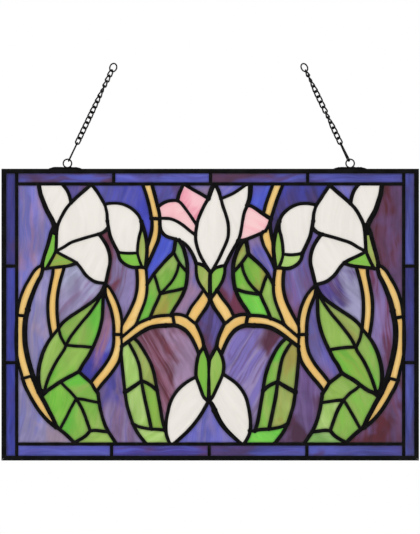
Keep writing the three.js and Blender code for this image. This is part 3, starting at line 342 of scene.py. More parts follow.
def smooth_curve(points, step=STEP):
    """Points a step apart on a Catmull-Rom spline, and each one's share of the line's length."""
    p = np.array(points, float)
    p = np.vstack([2 * p[0] - p[1], p, 2 * p[-1] - p[-2]])
    found = []
    for a, b, c, d in zip(p[:-3], p[1:-2], p[2:-1], p[3:]):
        count = max(1, int(round(np.linalg.norm(c - b) / step)))
        for t in np.arange(count) / count:
            square, cube = 2 * a - 5 * b + 4 * c - d, 3 * b - a - 3 * c + d
            found.append(0.5 * (2 * b + (c - a) * t + square * t**2 + cube * t**3))
    found.append(p[-2])
    found = np.array(found)
    run = np.concatenate([[0], np.cumsum(np.linalg.norm(np.diff(found, axis=0), axis=1))])
    return found, run / run[-1]


def lead_line(row, flip=False):
    """One line of the cartoon on the panel: its points, and its width at each of them."""
    _, start, end, *points = row
    if flip:
        points = [turned_over(p) for p in points]
    curve, share = smooth_curve([on_panel(p) for p in points])
    spread = RIGHT_SPREAD if flip else LEFT_SPREAD
    return curve, (start + (end - start) * share + spread) * SQUARE


def straight_line(x0, z0, x1, z1):
    """A straight lead line between two points of the panel."""
    curve, _ = smooth_curve([(x0, z0), (x1, z1)], STRAIGHT_STEP)
    return curve, np.full(len(curve), STRAIGHT_LEAD * STRAIGHT_SPREAD)


through_lines = [lead_line(row, flip) for row in SIDE_LEADS for flip in (False, True)]
through_lines += [lead_line(row) for row in MIDDLE_LEADS]
vein_lines = [lead_line(row, flip) for row in SIDE_VEINS for flip in (False, True)]
vein_lines += [lead_line(row) for row in MIDDLE_VEINS]

left, right = FRAME_LOW.x + PICTURE_INSET, FRAME_HIGH.x - PICTURE_INSET
low, high = FRAME_LOW.z + FOOT_INSET, FRAME_HIGH.z - PICTURE_INSET
edge_left = FRAME_LOW.x + RAIL_FACE - GLASS_UNDER_RAIL
edge_right = FRAME_HIGH.x - RAIL_FACE + GLASS_UNDER_RAIL
edge_low = FRAME_LOW.z + RAIL_FACE - GLASS_UNDER_RAIL
edge_high = FRAME_HIGH.z - RAIL_FACE + GLASS_UNDER_RAIL
border_lines = [
    straight_line(left, edge_low, left, edge_high),
    straight_line(right, edge_low, right, edge_high),
    straight_line(left, low, right, low),
    straight_line(left, high, right, high),
]
for joints, foot, head in ((TOP_JOINTS, high, edge_high), (BOTTOM_JOINTS, edge_low, low)):
    for joint in joints:
        across = on_panel((joint, 0))[0]
        border_lines.append(straight_line(across, foot, across, head))
for joint in SIDE_JOINTS:
    level = on_panel((0, joint))[1]
    border_lines.append(straight_line(edge_left, level, left, level))
    border_lines.append(straight_line(right, level, edge_right, level))
all_lines = through_lines + vein_lines + border_lines
print(len(through_lines + vein_lines), "lines in the picture and", len(border_lines), "in the border")

# %% [markdown]
# ## Materials as sentences
#
# A procedural material is a small sum, worked out at every point of the surface. Wiring it node by node
# hides that sum, so two small classes write it as Python: a `Signal` is one output of a node on which
# `+ - * /` add Math nodes, and a `Finish` is a material that adds any other node by its type.

# %% Signals and finishes
class Signal:
    """One number or colour that varies over a surface."""

    def __init__(self, finish, socket):
        self.finish, self.socket = finish, socket

    def sum_with(self, operation, first, second):
        return self.finish.node("ShaderNodeMath", {"operation": operation}, {0: first, 1: second})

    def __add__(self, other):
        return self.sum_with("ADD", self, other)

    __radd__ = __add__

    def __sub__(self, other):
        return self.sum_with("SUBTRACT", self, other)

    def __rsub__(self, other):
        return self.sum_with("SUBTRACT", other, self)

    def __mul__(self, other):
        return self.sum_with("MULTIPLY", self, other)

    __rmul__ = __mul__

    def __truediv__(self, other):
        return self.sum_with("DIVIDE", self, other)

    def __rtruediv__(self, other):
        return self.sum_with("DIVIDE", other, self)


class Finish:
    """A material under construction. `node` adds a node and gives its output."""

    def __init__(self, name):
        self.material = bpy.data.materials.new(name)
        self.material.use_nodes = True
        self.tree = self.material.node_tree
        self.tree.nodes.clear()

    def node(self, kind, settings=None, inputs=None, output=0):
        """Adds a node and gives one of its outputs, or all of them where output is None."""
        made = self.tree.nodes.new(kind)
        for key, value in (settings or {}).items():
            setattr(made, key, value)
        for key, value in (inputs or {}).items():
            if isinstance(value, Signal):
                self.tree.links.new(value.socket, made.inputs[key])
            else:
                made.inputs[key].default_value = value
        signals = [Signal(self, socket) for socket in made.outputs]
        return signals if output is None else signals[output]

    def parts(self, vector):
        """The x, y and z of a vector."""
        return self.node("ShaderNodeSeparateXYZ", None, {0: vector}, None)

    def point(self, x, y, z):
        """A vector of three values."""
        return self.node("ShaderNodeCombineXYZ", None, {0: x, 1: y, 2: z})

    def mix(self, share, first, second):
        """The first colour where the share is 0 and the second where it is 1."""
        return self.node("ShaderNodeMix", {"data_type": "RGBA"}, {0: share, 6: first, 7: second}, 2)

    def between(self, value, low, high, new_low=0.0, new_high=1.0):
        """The value stretched softly from one range to another, and held at its ends."""
        settings = {"interpolation_type": "SMOOTHSTEP"}
        ends = {"Value": value, "From Min": low, "From Max": high, "To Min": new_low, "To Max": new_high}
        return self.node("ShaderNodeMapRange", settings, ends)

    def grain(self, place, scale, detail=3.0, distortion=0.0):
        """Soft random clouds, 0 to 1."""
        ways = {"Vector": place, "Scale": scale, "Detail": detail, "Distortion": distortion}
        return self.node("ShaderNodeTexNoise", {"noise_dimensions": "3D"}, ways)

    def surface(self, **sockets):
        """Ends the material with the plain surface shader, and returns the material."""
        names = {key.replace("_", " ").title().replace("Ior", "IOR"): v for key, v in sockets.items()}
        shader = self.node("ShaderNodeBsdfPrincipled", None, names)
        self.node("ShaderNodeOutputMaterial", None, {"Surface": shader}, None)
        return self.material

    def dents(self, strength, depth, height):
        """A bumpy surface from a height."""
        ways = {"Strength": strength, "Distance": depth, "Height": height}
        return self.node("ShaderNodeBump", None, ways)


def paint(red, green, blue):
    """A colour as a painter reads it, 0 to 255, turned into light."""
    def light(v):
        v /= 255
        return v / 12.92 if v <= 0.04045 else ((v + 0.055) / 1.055) ** 2.4
    return (light(red), light(green), light(blue), 1.0)

# %% [markdown]
# ## The glass
#
# This is streaky opalescent glass: two or three molten colours are ladled together and rolled into a
# sheet, so each pane has wisps of a second colour that run one way, and soft clouds of a third. One
# sum makes all of it. What differs from pane to pane is stored on the pane itself, as its colours and
# the direction of its wisps, so a handful of materials serves every pane. Light passes through
# all of it a little, and the petals are milkier than the rest.

# %% A material for streaky glass
# The names under which each pane stores its three colours.
COLOURS = ("main_colour", "wisp_colour", "cloud_colour")
# How far the wisps wander from straight, and the size of clouds, threads and smoke along and across them.
WANDER = 15 * MM
CLOUD_SIZE, THREAD_SIZE, SMOKE_SIZE = (50 * MM, 26 * MM), (50 * MM, 3.4 * MM), (50 * MM, 20 * MM)


def streaky_glass(name, wisp_size, clear, fineness, smoke, rim_shade):
    """Glass whose three colours, wisp direction and painted shade beside the lead come from the pane."""
    glass = Finish(name)

    def stored(title, output):
        return glass.node("ShaderNodeAttribute", {"attribute_name": title}, None, output)

    main, second, third = (stored(title, 0) for title in COLOURS)
    gather, rim = stored("gather", 2), stored("rim", 2)
    run, rise, seed = glass.parts(stored("flow", 1))
    x, _, z = glass.parts(glass.node("ShaderNodeNewGeometry"))
    along = x * run + z * rise
    across = z * run - x * rise
    wander = glass.grain(glass.point(x, z, seed), 20.0, 1.0)
    bent = across + (wander - 0.5) * WANDER

    def drawn_out(size, where, detail, distortion=0.0):
        """Soft clouds of a length and a width, drawn out along the wisps."""
        return glass.grain(glass.point(along / size[0], bent / size[1], where), 1.0, detail, distortion)

    wisps = glass.between(drawn_out(wisp_size, seed, 2.5, 0.12), 0.38, 0.62)
    billows = drawn_out(CLOUD_SIZE, seed + 3.0, 2.0, 0.5)
    clouds = glass.between(billows + gather * 0.20, 0.46, 0.70)
    threads = drawn_out(THREAD_SIZE, seed + 7.0, 2.0)
    colour = glass.mix(wisps, main, second)
    colour = glass.mix(clouds, colour, third)
    colour = glass.mix(glass.between(threads, 0.50, 0.68) * 0.4, colour, third)
    shade = glass.between(threads, 0.30, 0.70, 1 - fineness, 1 + fineness)
    dark = drawn_out(SMOKE_SIZE, seed + 11.0, 3.0, 0.6)
    # The rim factor paints shade into the glass colour: darker beside the lead, where its bead keeps light
    # off.
    shade = shade * glass.between(dark, 0.36, 0.64, 1 - smoke, 1 + smoke * 0.5) * (1 - rim * rim_shade)
    colour = glass.node("ShaderNodeVectorMath", {"operation": "SCALE"}, {0: colour, 3: shade})
    ripple = glass.grain(glass.point(x, z, seed), 150.0, 2.0)
    bump = glass.dents(0.2, 0.6 * MM, ripple + threads * 0.4)
    return glass.surface(
        base_color=colour, roughness=0.1, transmission_weight=clear, specular_ior_level=0.25, normal=bump
    )


# Slot, name, length and width of the wisps, how clear the glass is, and how strong its threads, its smoke
# and the shade at its rim are.
GLASSES = [
    ("white_glass", "milky petal glass", (60 * MM, 12 * MM), 0.10, 0.004, 0.01, 0.13),
    ("green_glass", "leaf glass", (50 * MM, 12 * MM), 0.20, 0.03, 0.10, 0.40),
    ("amber_glass", "amber stem glass", (80 * MM, 6 * MM), 0.18, 0.01, 0.03, 0.30),
    ("violet_glass", "violet background glass", (110 * MM, 8 * MM), 0.22, 0.05, 0.22, 0.42),
    ("cobalt_glass", "cobalt border glass", (100 * MM, 6 * MM), 0.22, 0.05, 0.20, 0.34),
]
glass_finishes = {slot: streaky_glass(*look) for slot, *look in GLASSES}
print(len(glass_finishes), "glass finishes")

# %% [markdown]
# ## The panes and their glass
#
# Every pane is listed with the part of the solid model that it belongs to, a point that lies in it, the
# glass that it is cut from, and the way its wisps run, in degrees from level. A side pane is listed
# once, with the glass of the left pane and of its partner on the right.

# %% The glass on the rack: main colour, wisps, clouds
RACK = {
    "cobalt": ((42, 40, 116), (52, 52, 136), (64, 46, 108)),
    "cobalt bright": ((46, 52, 150), (60, 66, 164), (56, 50, 132)),
    "slate blue": ((62, 68, 150), (80, 86, 172), (70, 58, 116)),
    "border blue": ((80, 84, 184), (96, 100, 200), (84, 68, 146)),
    "border deep": ((66, 66, 152), (82, 86, 178), (78, 54, 116)),
    "border swirl": ((84, 88, 186), (80, 68, 146), (88, 50, 86)),
    "border dark": ((66, 54, 146), (80, 80, 182), (84, 50, 116)),
    "bright blue": ((76, 92, 224), (94, 108, 230), (96, 92, 200)),
    "lilac and blue": ((150, 134, 182), (120, 118, 200), (154, 122, 164)),
    "pale lilac": ((154, 146, 192), (134, 132, 198), (172, 150, 176)),
    "ice and mauve": ((144, 118, 160), (152, 140, 184), (172, 172, 206)),
    "blue violet": ((76, 76, 174), (92, 88, 172), (68, 72, 196)),
    "blue dusk": ((84, 80, 168), (96, 88, 178), (86, 62, 124)),
    "violet": ((78, 68, 148), (100, 90, 172), (116, 84, 134)),
    "grey mauve": ((134, 114, 152), (114, 106, 174), (152, 120, 156)),
    "grey and maroon": ((134, 120, 168), (142, 128, 180), (112, 52, 74)),
    "rose and blue": ((148, 104, 136), (122, 124, 194), (62, 58, 170)),
    "mauve from blue": ((134, 106, 148), (144, 124, 170), (80, 72, 160)),
    "mauve and red": ((146, 98, 124), (108, 48, 66), (162, 132, 168)),
    "deep violet": ((76, 58, 112), (92, 80, 156), (92, 48, 84)),
    "plum red": ((96, 50, 80), (84, 26, 44), (98, 66, 112)),
    "dusk": ((58, 46, 108), (76, 56, 116), (60, 62, 168)),
    "lilac": ((122, 114, 186), (102, 102, 196), (134, 118, 176)),
    "blue to mauve": ((92, 92, 200), (126, 114, 178), (140, 116, 162)),
    "violet and maroon": ((96, 80, 148), (112, 84, 138), (108, 42, 70)),
    "blue lilac": ((112, 100, 176), (122, 108, 174), (122, 70, 104)),
    "storm": ((82, 64, 142), (94, 66, 120), (162, 158, 196)),
    "lilac and maroon": ((128, 106, 164), (112, 52, 88), (136, 116, 174)),
    "soft violet": ((112, 106, 180), (94, 88, 172), (120, 92, 146)),
    "dark mauve": ((104, 76, 134), (120, 94, 150), (80, 40, 72)),
    "lilac and plum": ((150, 134, 182), (124, 110, 184), (84, 36, 62)),
    "lilac to red": ((104, 80, 136), (106, 60, 94), (86, 22, 40)),
    "leaf": ((146, 184, 80), (158, 194, 94), (124, 180, 66)),
    "leaf and vivid": ((148, 184, 84), (134, 186, 72), (104, 192, 60)),
    "vivid leaf": ((112, 188, 56), (128, 192, 66), (150, 192, 84)),
    "vivid and olive": ((118, 186, 60), (138, 182, 68), (156, 162, 68)),
    "pale leaf": ((166, 206, 106), (182, 214, 126), (150, 188, 86)),
    "bright leaf": ((108, 214, 66), (122, 214, 78), (136, 200, 76)),
    "olive leaf": ((152, 176, 84), (166, 186, 98), (164, 156, 74)),
    "olive and amber": ((154, 168, 72), (134, 178, 70), (170, 154, 66)),
    "grey leaf": ((128, 178, 90), (150, 190, 112), (112, 160, 84)),
    "amber": ((243, 198, 112), (248, 210, 132), (236, 188, 100)),
    "milk": ((238, 233, 226), (234, 229, 222), (241, 236, 230)),
    "rose": ((240, 150, 170), (246, 176, 190), (250, 196, 204)),
    "blush": ((249, 190, 196), (250, 204, 206), (246, 180, 190)),
}
PAINTS = {glass: [paint(*tone) for tone in tones] for glass, tones in RACK.items()}
print(len(PAINTS), "kinds of glass")

# %% The panes of both sides
# Part, point, glass on the left, glass on the right, way of the wisps, and where the third colour
# gathers on the left and on the right, in degrees from the viewer's right, or None.
SIDE_PANES = [
    ["flower", (58, 200), "milk", "milk", 70, None, None],
    ["flower", (82, 220), "milk", "milk", 95, None, None],
    ["flower", (51, 250), "vivid leaf", "olive leaf", 75, None, None],
    ["flower", (58, 261), "olive and amber", "vivid leaf", 10, 180, None],
    ["flower", (90, 255), "milk", "milk", 60, None, None],
    ["flower", (122, 225), "milk", "milk", 80, None, None],
    ["flower", (143, 245), "olive leaf", "leaf and vivid", 85, None, None],
    ["flower", (128, 260), "vivid leaf", "pale leaf", 0, None, None],
    ["leaf_great", (75, 322), "leaf", "olive leaf", 40, 200, None],
    ["leaf_great", (48, 360), "leaf", "leaf and vivid", 70, None, None],
    ["leaf_great", (95, 320), "leaf and vivid", "leaf", 75, 0, None],
    ["leaf_great", (75, 358), "vivid leaf", "vivid and olive", 50, 0, 45],
    ["leaf_low", (80, 385), "leaf and vivid", "leaf", 40, 90, None],
    ["leaf_low", (58, 400), "vivid leaf", "leaf and vivid", 70, None, None],
    ["leaf_low", (74, 420), "leaf and vivid", "leaf and vivid", 85, 180, None],
    ["leaf_low", (92, 415), "leaf", "pale leaf", 75, 90, None],
    ["leaf_low", (100, 438), "leaf", "grey leaf", 20, None, None],
    ["leaf_spray", (130, 365), "pale leaf", "olive leaf", 85, None, 120],
    ["leaf_spray", (133, 405), "pale leaf", "olive leaf", 80, 270, None],
    ["leaf_spray", (146, 372), "olive leaf", "leaf and vivid", 70, None, None],
    ["leaf_spray", (153, 410), "vivid and olive", "leaf and vivid", 80, None, None],
    ["leaf_spray", (150, 437), "pale leaf", "bright leaf", 30, None, None],
    ["leaf_middle", (181, 255), "grey leaf", "olive leaf", 80, None, None],
    ["leaf_middle", (166, 270), "leaf", "vivid and olive", 60, 270, 0],
    ["leaf_middle", (178, 280), "vivid leaf", "vivid leaf", 70, None, None],
    ["leaf_middle", (152, 295), "leaf and vivid", "leaf", 80, 270, None],
    ["leaf_middle", (170, 303), "olive and amber", "bright leaf", 60, 200, None],
    ["stem_outer", (30, 288), "amber", "amber", 65, None, None],
    ["stem_outer", (20.5, 345), "amber", "amber", 90, None, None],
    ["stem_outer", (38.5, 402), "amber", "amber", 120, None, None],
    ["stem_inner", (53, 300), "amber", "amber", 88, None, None],
    ["stem_spray", (113, 300), "amber", "amber", 110, None, None],
    ["stem_spray", (115, 355), "amber", "amber", 65, None, None],
    ["stem_spray", (130, 318), "amber", "amber", 75, None, None],
    ["stem_spray", (150, 323), "amber", "amber", 20, None, None],
    ["stem_spray", (188, 323), "amber", "amber", 140, None, None],
    ["stem_spray", (198, 308), "amber", "amber", 60, None, None],
    ["sky_side", (30, 220), "lilac and blue", "plum red", 88, None, 0],
    ["sky_petal_gap", (75, 192), "violet", "lilac", 80, 0, None],
    ["sky_over_petal", (120, 195), "blue violet", "dusk", 70, 0, 90],
    ["sky_narrow", (125, 285), "grey and maroon", "blue lilac", 80, 180, 270],
    ["sky_stem_gap", (38, 320), "pale lilac", "lilac and maroon", 85, None, 180],
    ["sky_over_leaf", (75, 290), "ice and mauve", "storm", 50, 60, 0],
    ["sky_leaf_stem", (104, 335), "rose and blue", "soft violet", 75, 250, 270],
    ["sky_corner", (28, 425), "pale lilac", "lilac to red", 80, 0, 250],
    ["sky_leaf_gap", (115, 400), "mauve from blue", "dark mauve", 85, 90, 270],
    ["sky_bright", (158, 255), "bright blue", "blue to mauve", 60, None, 90],
    ["sky_flank", (192, 290), "grey mauve", "violet and maroon", 75, 270, 270],
    ["sky_arch", (172, 360), "mauve and red", "lilac and plum", 118, 0, 30],
]

# %% The panes of the middle and of the border
MIDDLE_PANES = [
    ["flower_middle", (194, 205), "rose", 60, 45],
    ["flower_middle", (172, 210), "blush", 20, None],
    ["flower_middle", (180, 233), "milk", 150, None],
    ["flower_middle", (212, 230), "milk", 90, None],
    ["flower_middle", (236, 210), "milk", 110, None],
    ["flower_middle", (255, 222), "blush", 150, None],
    ["flower_middle", (203, 278), "olive leaf", 80, None],
    ["flower_middle", (217, 278), "leaf and vivid", 100, None],
    ["buds", (185, 410), "milk", 50, None],
    ["buds", (232, 405), "milk", 120, None],
    ["buds", (203, 375), "vivid and olive", 85, None],
    ["buds", (215, 375), "leaf", 95, None],
    ["stem_upper_left", (152, 200), "amber", 105, None],
    ["stem_upper_left", (155, 235), "amber", 85, None],
    ["stem_upper_right", (272, 200), "amber", 75, None],
    ["stem_lower_right", (266, 240), "amber", 95, None],
    ["sky_top_left", (165, 193), "blue dusk", 80, 0],
    ["sky_top_right", (261, 196), "bright blue", 80, None],
    ["sky_tip_left", (204, 189), "grey mauve", 30, None],
    ["sky_tip_right", (225, 190), "lilac", 30, None],
    ["sky_diamond", (210, 325), "deep violet", 80, 270],
    ["sky_foot", (208, 425), "lilac", 80, None],
    ["border_glass", (10, 215), "cobalt", 90, None],
    ["border_glass", (10, 315), "cobalt bright", 90, None],
    ["border_glass", (10, 410), "cobalt bright", 90, None],
    ["border_glass", (410, 215), "slate blue", 90, 90],
    ["border_glass", (410, 315), "cobalt", 90, None],
    ["border_glass", (410, 410), "slate blue", 90, None],
    ["border_glass", (60, 176), "border swirl", 4, 300],
    ["border_glass", (160, 176), "border blue", 0, None],
    ["border_glass", (260, 176), "border swirl", 10, 180],
    ["border_glass", (360, 176), "border deep", 0, None],
    ["border_glass", (60, 452), "border blue", 0, None],
    ["border_glass", (160, 452), "border dark", 0, 0],
    ["border_glass", (260, 452), "border deep", 0, 180],
    ["border_glass", (360, 452), "border deep", 0, None],
]
print(2 * len(SIDE_PANES) + len(MIDDLE_PANES), "panes are listed")

# %% [markdown]
# ## Cutting the sheet
#
# Real panes are cut one by one. Here one flat sheet is cut along all the lines at once. Booleans with
# two hundred curved cutters would be slow and brittle, so a constrained triangulation is used instead:
# it takes the sheet's outline and the outline of every line, and gives triangles that cross none of
# them. The triangles under a line are dropped, and what still hangs together is one pane.

# %% Outline of a line
# How far a pane runs on under the bead beside it.
UNDER_LEAD = 0.35 * MM


def outline(curve, width, beyond=0.0):
    """The closed outline of a line, counterclockwise: the curve moved to both sides."""
    way = np.gradient(curve, axis=0)
    way /= np.linalg.norm(way, axis=1)[:, None]
    side = np.stack([-way[:, 1], way[:, 0]], axis=1) * (width[:, None] / 2 - UNDER_LEAD + beyond)
    return np.vstack([curve - side, (curve + side)[::-1]])

# %% [markdown]
# ## The shade beside the lead
#
# The lead stands out over the glass and keeps light from its rim, so every pane is a little darker along
# its edge. The shade is stored on the panes, 1 beside a line and 0 where it ends. A pane needs points
# where the shade ends, so a row of them is laid along both sides of every line.

# %% Points where the shade ends
SHADE_REACH = 2.6 * MM
# How much shade a point of the row may have, how finely lines are sampled, and how many samples are tried.
NEARLY_LIT = 0.6
SAMPLE_STEP = 0.25
NEAREST = 8
inner_left, inner_right = FRAME_LOW.x + RAIL_FACE, FRAME_HIGH.x - RAIL_FACE
inner_low, inner_high = FRAME_LOW.z + RAIL_FACE, FRAME_HIGH.z - RAIL_FACE


def rail_edge(x0, z0, x1, z1):
    """The inner edge of a rail, as a line without width."""
    curve, _ = smooth_curve([(x0, z0), (x1, z1)], STRAIGHT_STEP)
    return curve, np.full(len(curve), 2 * UNDER_LEAD)


rail_edges = [
    rail_edge(inner_left, inner_low, inner_left, inner_high),
    rail_edge(inner_right, inner_low, inner_right, inner_high),
    rail_edge(inner_left, inner_low, inner_right, inner_low),
    rail_edge(inner_left, inner_high, inner_right, inner_high),
]
beside, half_widths = [], []
shading_lines = all_lines + rail_edges
for curve, width in shading_lines:
    index = np.arange(len(curve))
    share = np.arange(0, len(curve) - 0.9, SAMPLE_STEP)
    beside += list(zip(np.interp(share, index, curve[:, 0]), np.interp(share, index, curve[:, 1])))
    half_widths += list(np.interp(share, index, width) / 2)
tree = KDTree(len(beside))
for i, (x, z) in enumerate(beside):
    tree.insert((x, z, 0), i)
tree.balance()


def shade_at(x, z):
    """1 beside a line, 0 where its shade ends."""
    nearest = min(far - half_widths[i] for _, i, far in tree.find_n((x, z, 0), NEAREST))
    return min(1, max(0, 1 - (nearest + UNDER_LEAD) / SHADE_REACH))


shade_ends = [
    (x, z) for curve, width in shading_lines for x, z in outline(curve, width, SHADE_REACH)
    if edge_left + UNDER_LEAD < x < edge_right - UNDER_LEAD
    and edge_low + UNDER_LEAD < z < edge_high - UNDER_LEAD and shade_at(x, z) < NEARLY_LIT
]
print(len(shade_ends), "points where the shade ends")

# %% Triangulate the sheet and sort its triangles into panes
CUT_TOLERANCE = 1e-7
corners = ((edge_left, edge_low), (edge_right, edge_low), (edge_right, edge_high), (edge_left, edge_high))
cut_points, cut_faces = [Vector(c) for c in corners], [[0, 1, 2, 3]]
for curve, width in all_lines:
    first = len(cut_points)
    shape = outline(curve, width)
    shape[:, 0] = shape[:, 0].clip(edge_left, edge_right)
    shape[:, 1] = shape[:, 1].clip(edge_low, edge_high)
    cut_points += [Vector(p) for p in shape]
    cut_faces.append(list(range(first, first + len(shape))))
cut_points += [Vector(p) for p in shade_ends]
cut_points += [Vector(p) for curve, _ in rail_edges for p in curve]
verts, _, tris, _, _, sources = delaunay_2d_cdt(cut_points, [], cut_faces, 0, CUT_TOLERANCE)
sheet_points = np.array([tuple(v) for v in verts])
kept = [tuple(t) for t, source in zip(tris, sources) if list(source) == [0]]


def sort_into_panes(triangles):
    """Groups of triangles that share edges."""
    owner = {}
    parent = list(range(len(triangles)))

    def root(i):
        while parent[i] != i:
            parent[i] = parent[parent[i]]
            i = parent[i]
        return i

    for i, triangle in enumerate(triangles):
        for a, b in zip(triangle, triangle[1:] + triangle[:1]):
            other = owner.setdefault((min(a, b), max(a, b)), i)
            parent[root(i)] = root(other)
    groups = {}
    for i, triangle in enumerate(triangles):
        groups.setdefault(root(i), []).append(triangle)
    return list(groups.values())


def cross(one, other):
    """Twice the area of the triangle between two flat vectors, signed."""
    return one[..., 0] * other[..., 1] - one[..., 1] * other[..., 0]


def corners_of(group):
    """The first, second and third corners of a group's triangles."""
    return [sheet_points[[t[k] for t in group]] for k in range(3)]


def area(group):
    a, b, c = corners_of(group)
    return float(np.sum(np.abs(cross(b - a, c - a))) / 2)


SMALLEST_PANE = 6 * MM * MM
panes = [g for g in sort_into_panes(kept) if area(g) > SMALLEST_PANE]
print(len(kept), "triangles in", len(panes), "panes")

# %% [markdown]
# ## One body of glass for each pane
#
# A pane is its cut shape, 3 mm thick, with both faces and a wall all round. The panes that belong to
# one part of the solid model share an object, and keep their own colours in its attributes.

# %% Find the pane that a point lies in
def holds(group, point):
    """Whether the point lies in one of the group's triangles."""
    a, b, c = corners_of(group)
    turns = np.stack([cross(q - p, point - p) for p, q in ((a, b), (b, c), (c, a))])
    return bool(np.any(np.all(turns >= 0, axis=0) | np.all(turns <= 0, axis=0)))


listed = []
for part, point, left_glass, right_glass, degrees, left_side, right_side in SIDE_PANES:
    listed.append((part + "_left", on_panel(point), left_glass, degrees, left_side))
    partner = on_panel(turned_over(point))
    listed.append((part + "_right", partner, right_glass, 180 - degrees, right_side))
listed += [(part, on_panel(point), *rest) for part, point, *rest in MIDDLE_PANES]
chosen = {}
for part, point, glass, degrees, side in listed:
    for i, group in enumerate(panes):
        if holds(group, point):
            chosen[i] = (part, glass, degrees, side)
print(len(chosen), "of", len(panes), "panes have their glass")

# %% Build the glass
SLOTS = {"flower": "white_glass", "buds": "white_glass", "leaf": "green_glass", "stem": "amber_glass",
         "sky": "violet_glass", "border": "cobalt_glass"}
# Each pane's place in the random clouds, and how its third colour gathers where no side is given.
SEED_STEP, SEED_RANGE = 0.37, 7
EVENLY = -0.35


def add_piece(name, points, faces, material, nodes, slot, smooth=True):
    """A mesh object that rides on the panel and stands for parts of the solid model."""
    mesh = bpy.data.meshes.new(name)
    mesh.from_pydata([tuple(p) for p in points], [], faces)
    mesh.validate()
    mesh.update()
    if smooth:
        mesh.shade_smooth()
    mesh.materials.append(material)
    piece = bpy.data.objects.new(name, mesh)
    bpy.context.scene.collection.objects.link(piece)
    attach(piece, "root")
    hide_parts(*nodes)
    return piece


def pane_body(group):
    """Points and faces of one pane: front, back and the wall between."""
    used = sorted({i for t in group for i in t})
    number = {v: k for k, v in enumerate(used)}
    flat = sheet_points[used]
    count = len(used)
    half = GLASS_THICKNESS / 2
    points = [(x, -half, z) for x, z in flat] + [(x, half, z) for x, z in flat]
    front, edges = [], {}
    for t in group:
        a, b, c = (number[v] for v in t)
        front.append((a, b, c))
        for edge in ((a, b), (b, c), (c, a)):
            edges[edge] = True
    faces = list(front) + [(c + count, b + count, a + count) for a, b, c in front]
    faces += [(b, a, a + count, b + count) for a, b in edges if (b, a) not in edges]
    return points, faces


def gathering(points, side):
    """How far each point lies to one side of its pane, -1 to 1, for the colour that gathers there."""
    flat = np.array([(p[0], p[2]) for p in points])
    if side is None:
        return np.full(len(flat), EVENLY)
    angle = math.radians(side)
    reach = flat @ np.array([math.cos(angle), math.sin(angle)])
    return 2 * (reach - reach.min()) / (reach.max() - reach.min()) - 1


def store(mesh, title, kind, field, values):
    """Keeps values of the mesh's points under a title."""
    layer = mesh.attributes.new(title, kind, "POINT")
    layer.data.foreach_set(field, np.array(values, np.float32).ravel())


by_part = {}
for i, row in chosen.items():
    by_part.setdefault(row[0], []).append((i, *row[1:]))
for part, rows in sorted(by_part.items()):
    points, faces, tints, flows, gathers = [], [], [], [], []
    for i, glass, degrees, side in rows:
        new_points, new_faces = pane_body(panes[i])
        faces += [tuple(v + len(points) for v in f) for f in new_faces]
        points += new_points
        angle = math.radians(degrees)
        tints += [PAINTS[glass]] * len(new_points)
        flows += [(math.cos(angle), math.sin(angle), (i * SEED_STEP) % SEED_RANGE)] * len(new_points)
        gathers += list(gathering(new_points, side))
    slot = SLOTS[part.split("_")[0]]
    piece = add_piece("panes_" + part, points, faces, glass_finishes[slot], [part], slot, smooth=False)
    for k, title in enumerate(COLOURS):
        store(piece.data, title, "FLOAT_COLOR", "color", [tint[k] for tint in tints])
    store(piece.data, "flow", "FLOAT_VECTOR", "vector", flows)
    store(piece.data, "rim", "FLOAT", "value", [shade_at(x, z) for x, _, z in points])
    store(piece.data, "gather", "FLOAT", "value", gathers)
print("glass in", len(by_part), "objects")

# %% [markdown]
# ## The solder lines
#
# Each pane's edge is wrapped in copper foil, and molten solder joins the foils into one rounded bead on
# both faces, which is then blackened. A curve with a bevel would give a round wire, but a bead is wider
# than it is high and its width wanders with the hand that ran it. So a rounded section is swept along
# each line in code, its width and height varied by a little smooth noise.

# %% Sweep a bead along a line
BEAD_SIDES = 10
BEAD_SQUARENESS = 0.75
# A bead's end: how far it runs on, and how wide and high it still is, as shares.
END_REACH, END_WIDTH, END_HEIGHT = 0.28, 0.55, 0.8
# How much width and height wander, as shares, and over what length.
WIDTH_WANDER, WIDTH_WAVE = 0.07, 9 * MM
HEIGHT_WANDER, HEIGHT_WAVE = 0.05, 6 * MM


def round_angles(count):
    """Angles evenly round a circle."""
    return 2 * math.pi * np.arange(count) / count


def ring_faces(rings, sides, inside_out=False):
    """Faces between rings of points that follow each other, and over the first and the last."""
    faces = []
    for a in range(0, (rings - 1) * sides, sides):
        b = a + sides
        for k in range(sides):
            n = (k + 1) % sides
            faces.append((a + k, b + k, b + n, a + n) if inside_out else (a + k, a + n, b + n, b + k))
    first, last = tuple(range(sides)), tuple(range((rings - 1) * sides, rings * sides))
    return faces + ([first, last[::-1]] if inside_out else [first[::-1], last])


def wobble(x, z, seed, size):
    """Smooth noise between -1 and 1 over a length of about size."""
    return noise.noise(Vector((x / size, seed, z / size)))


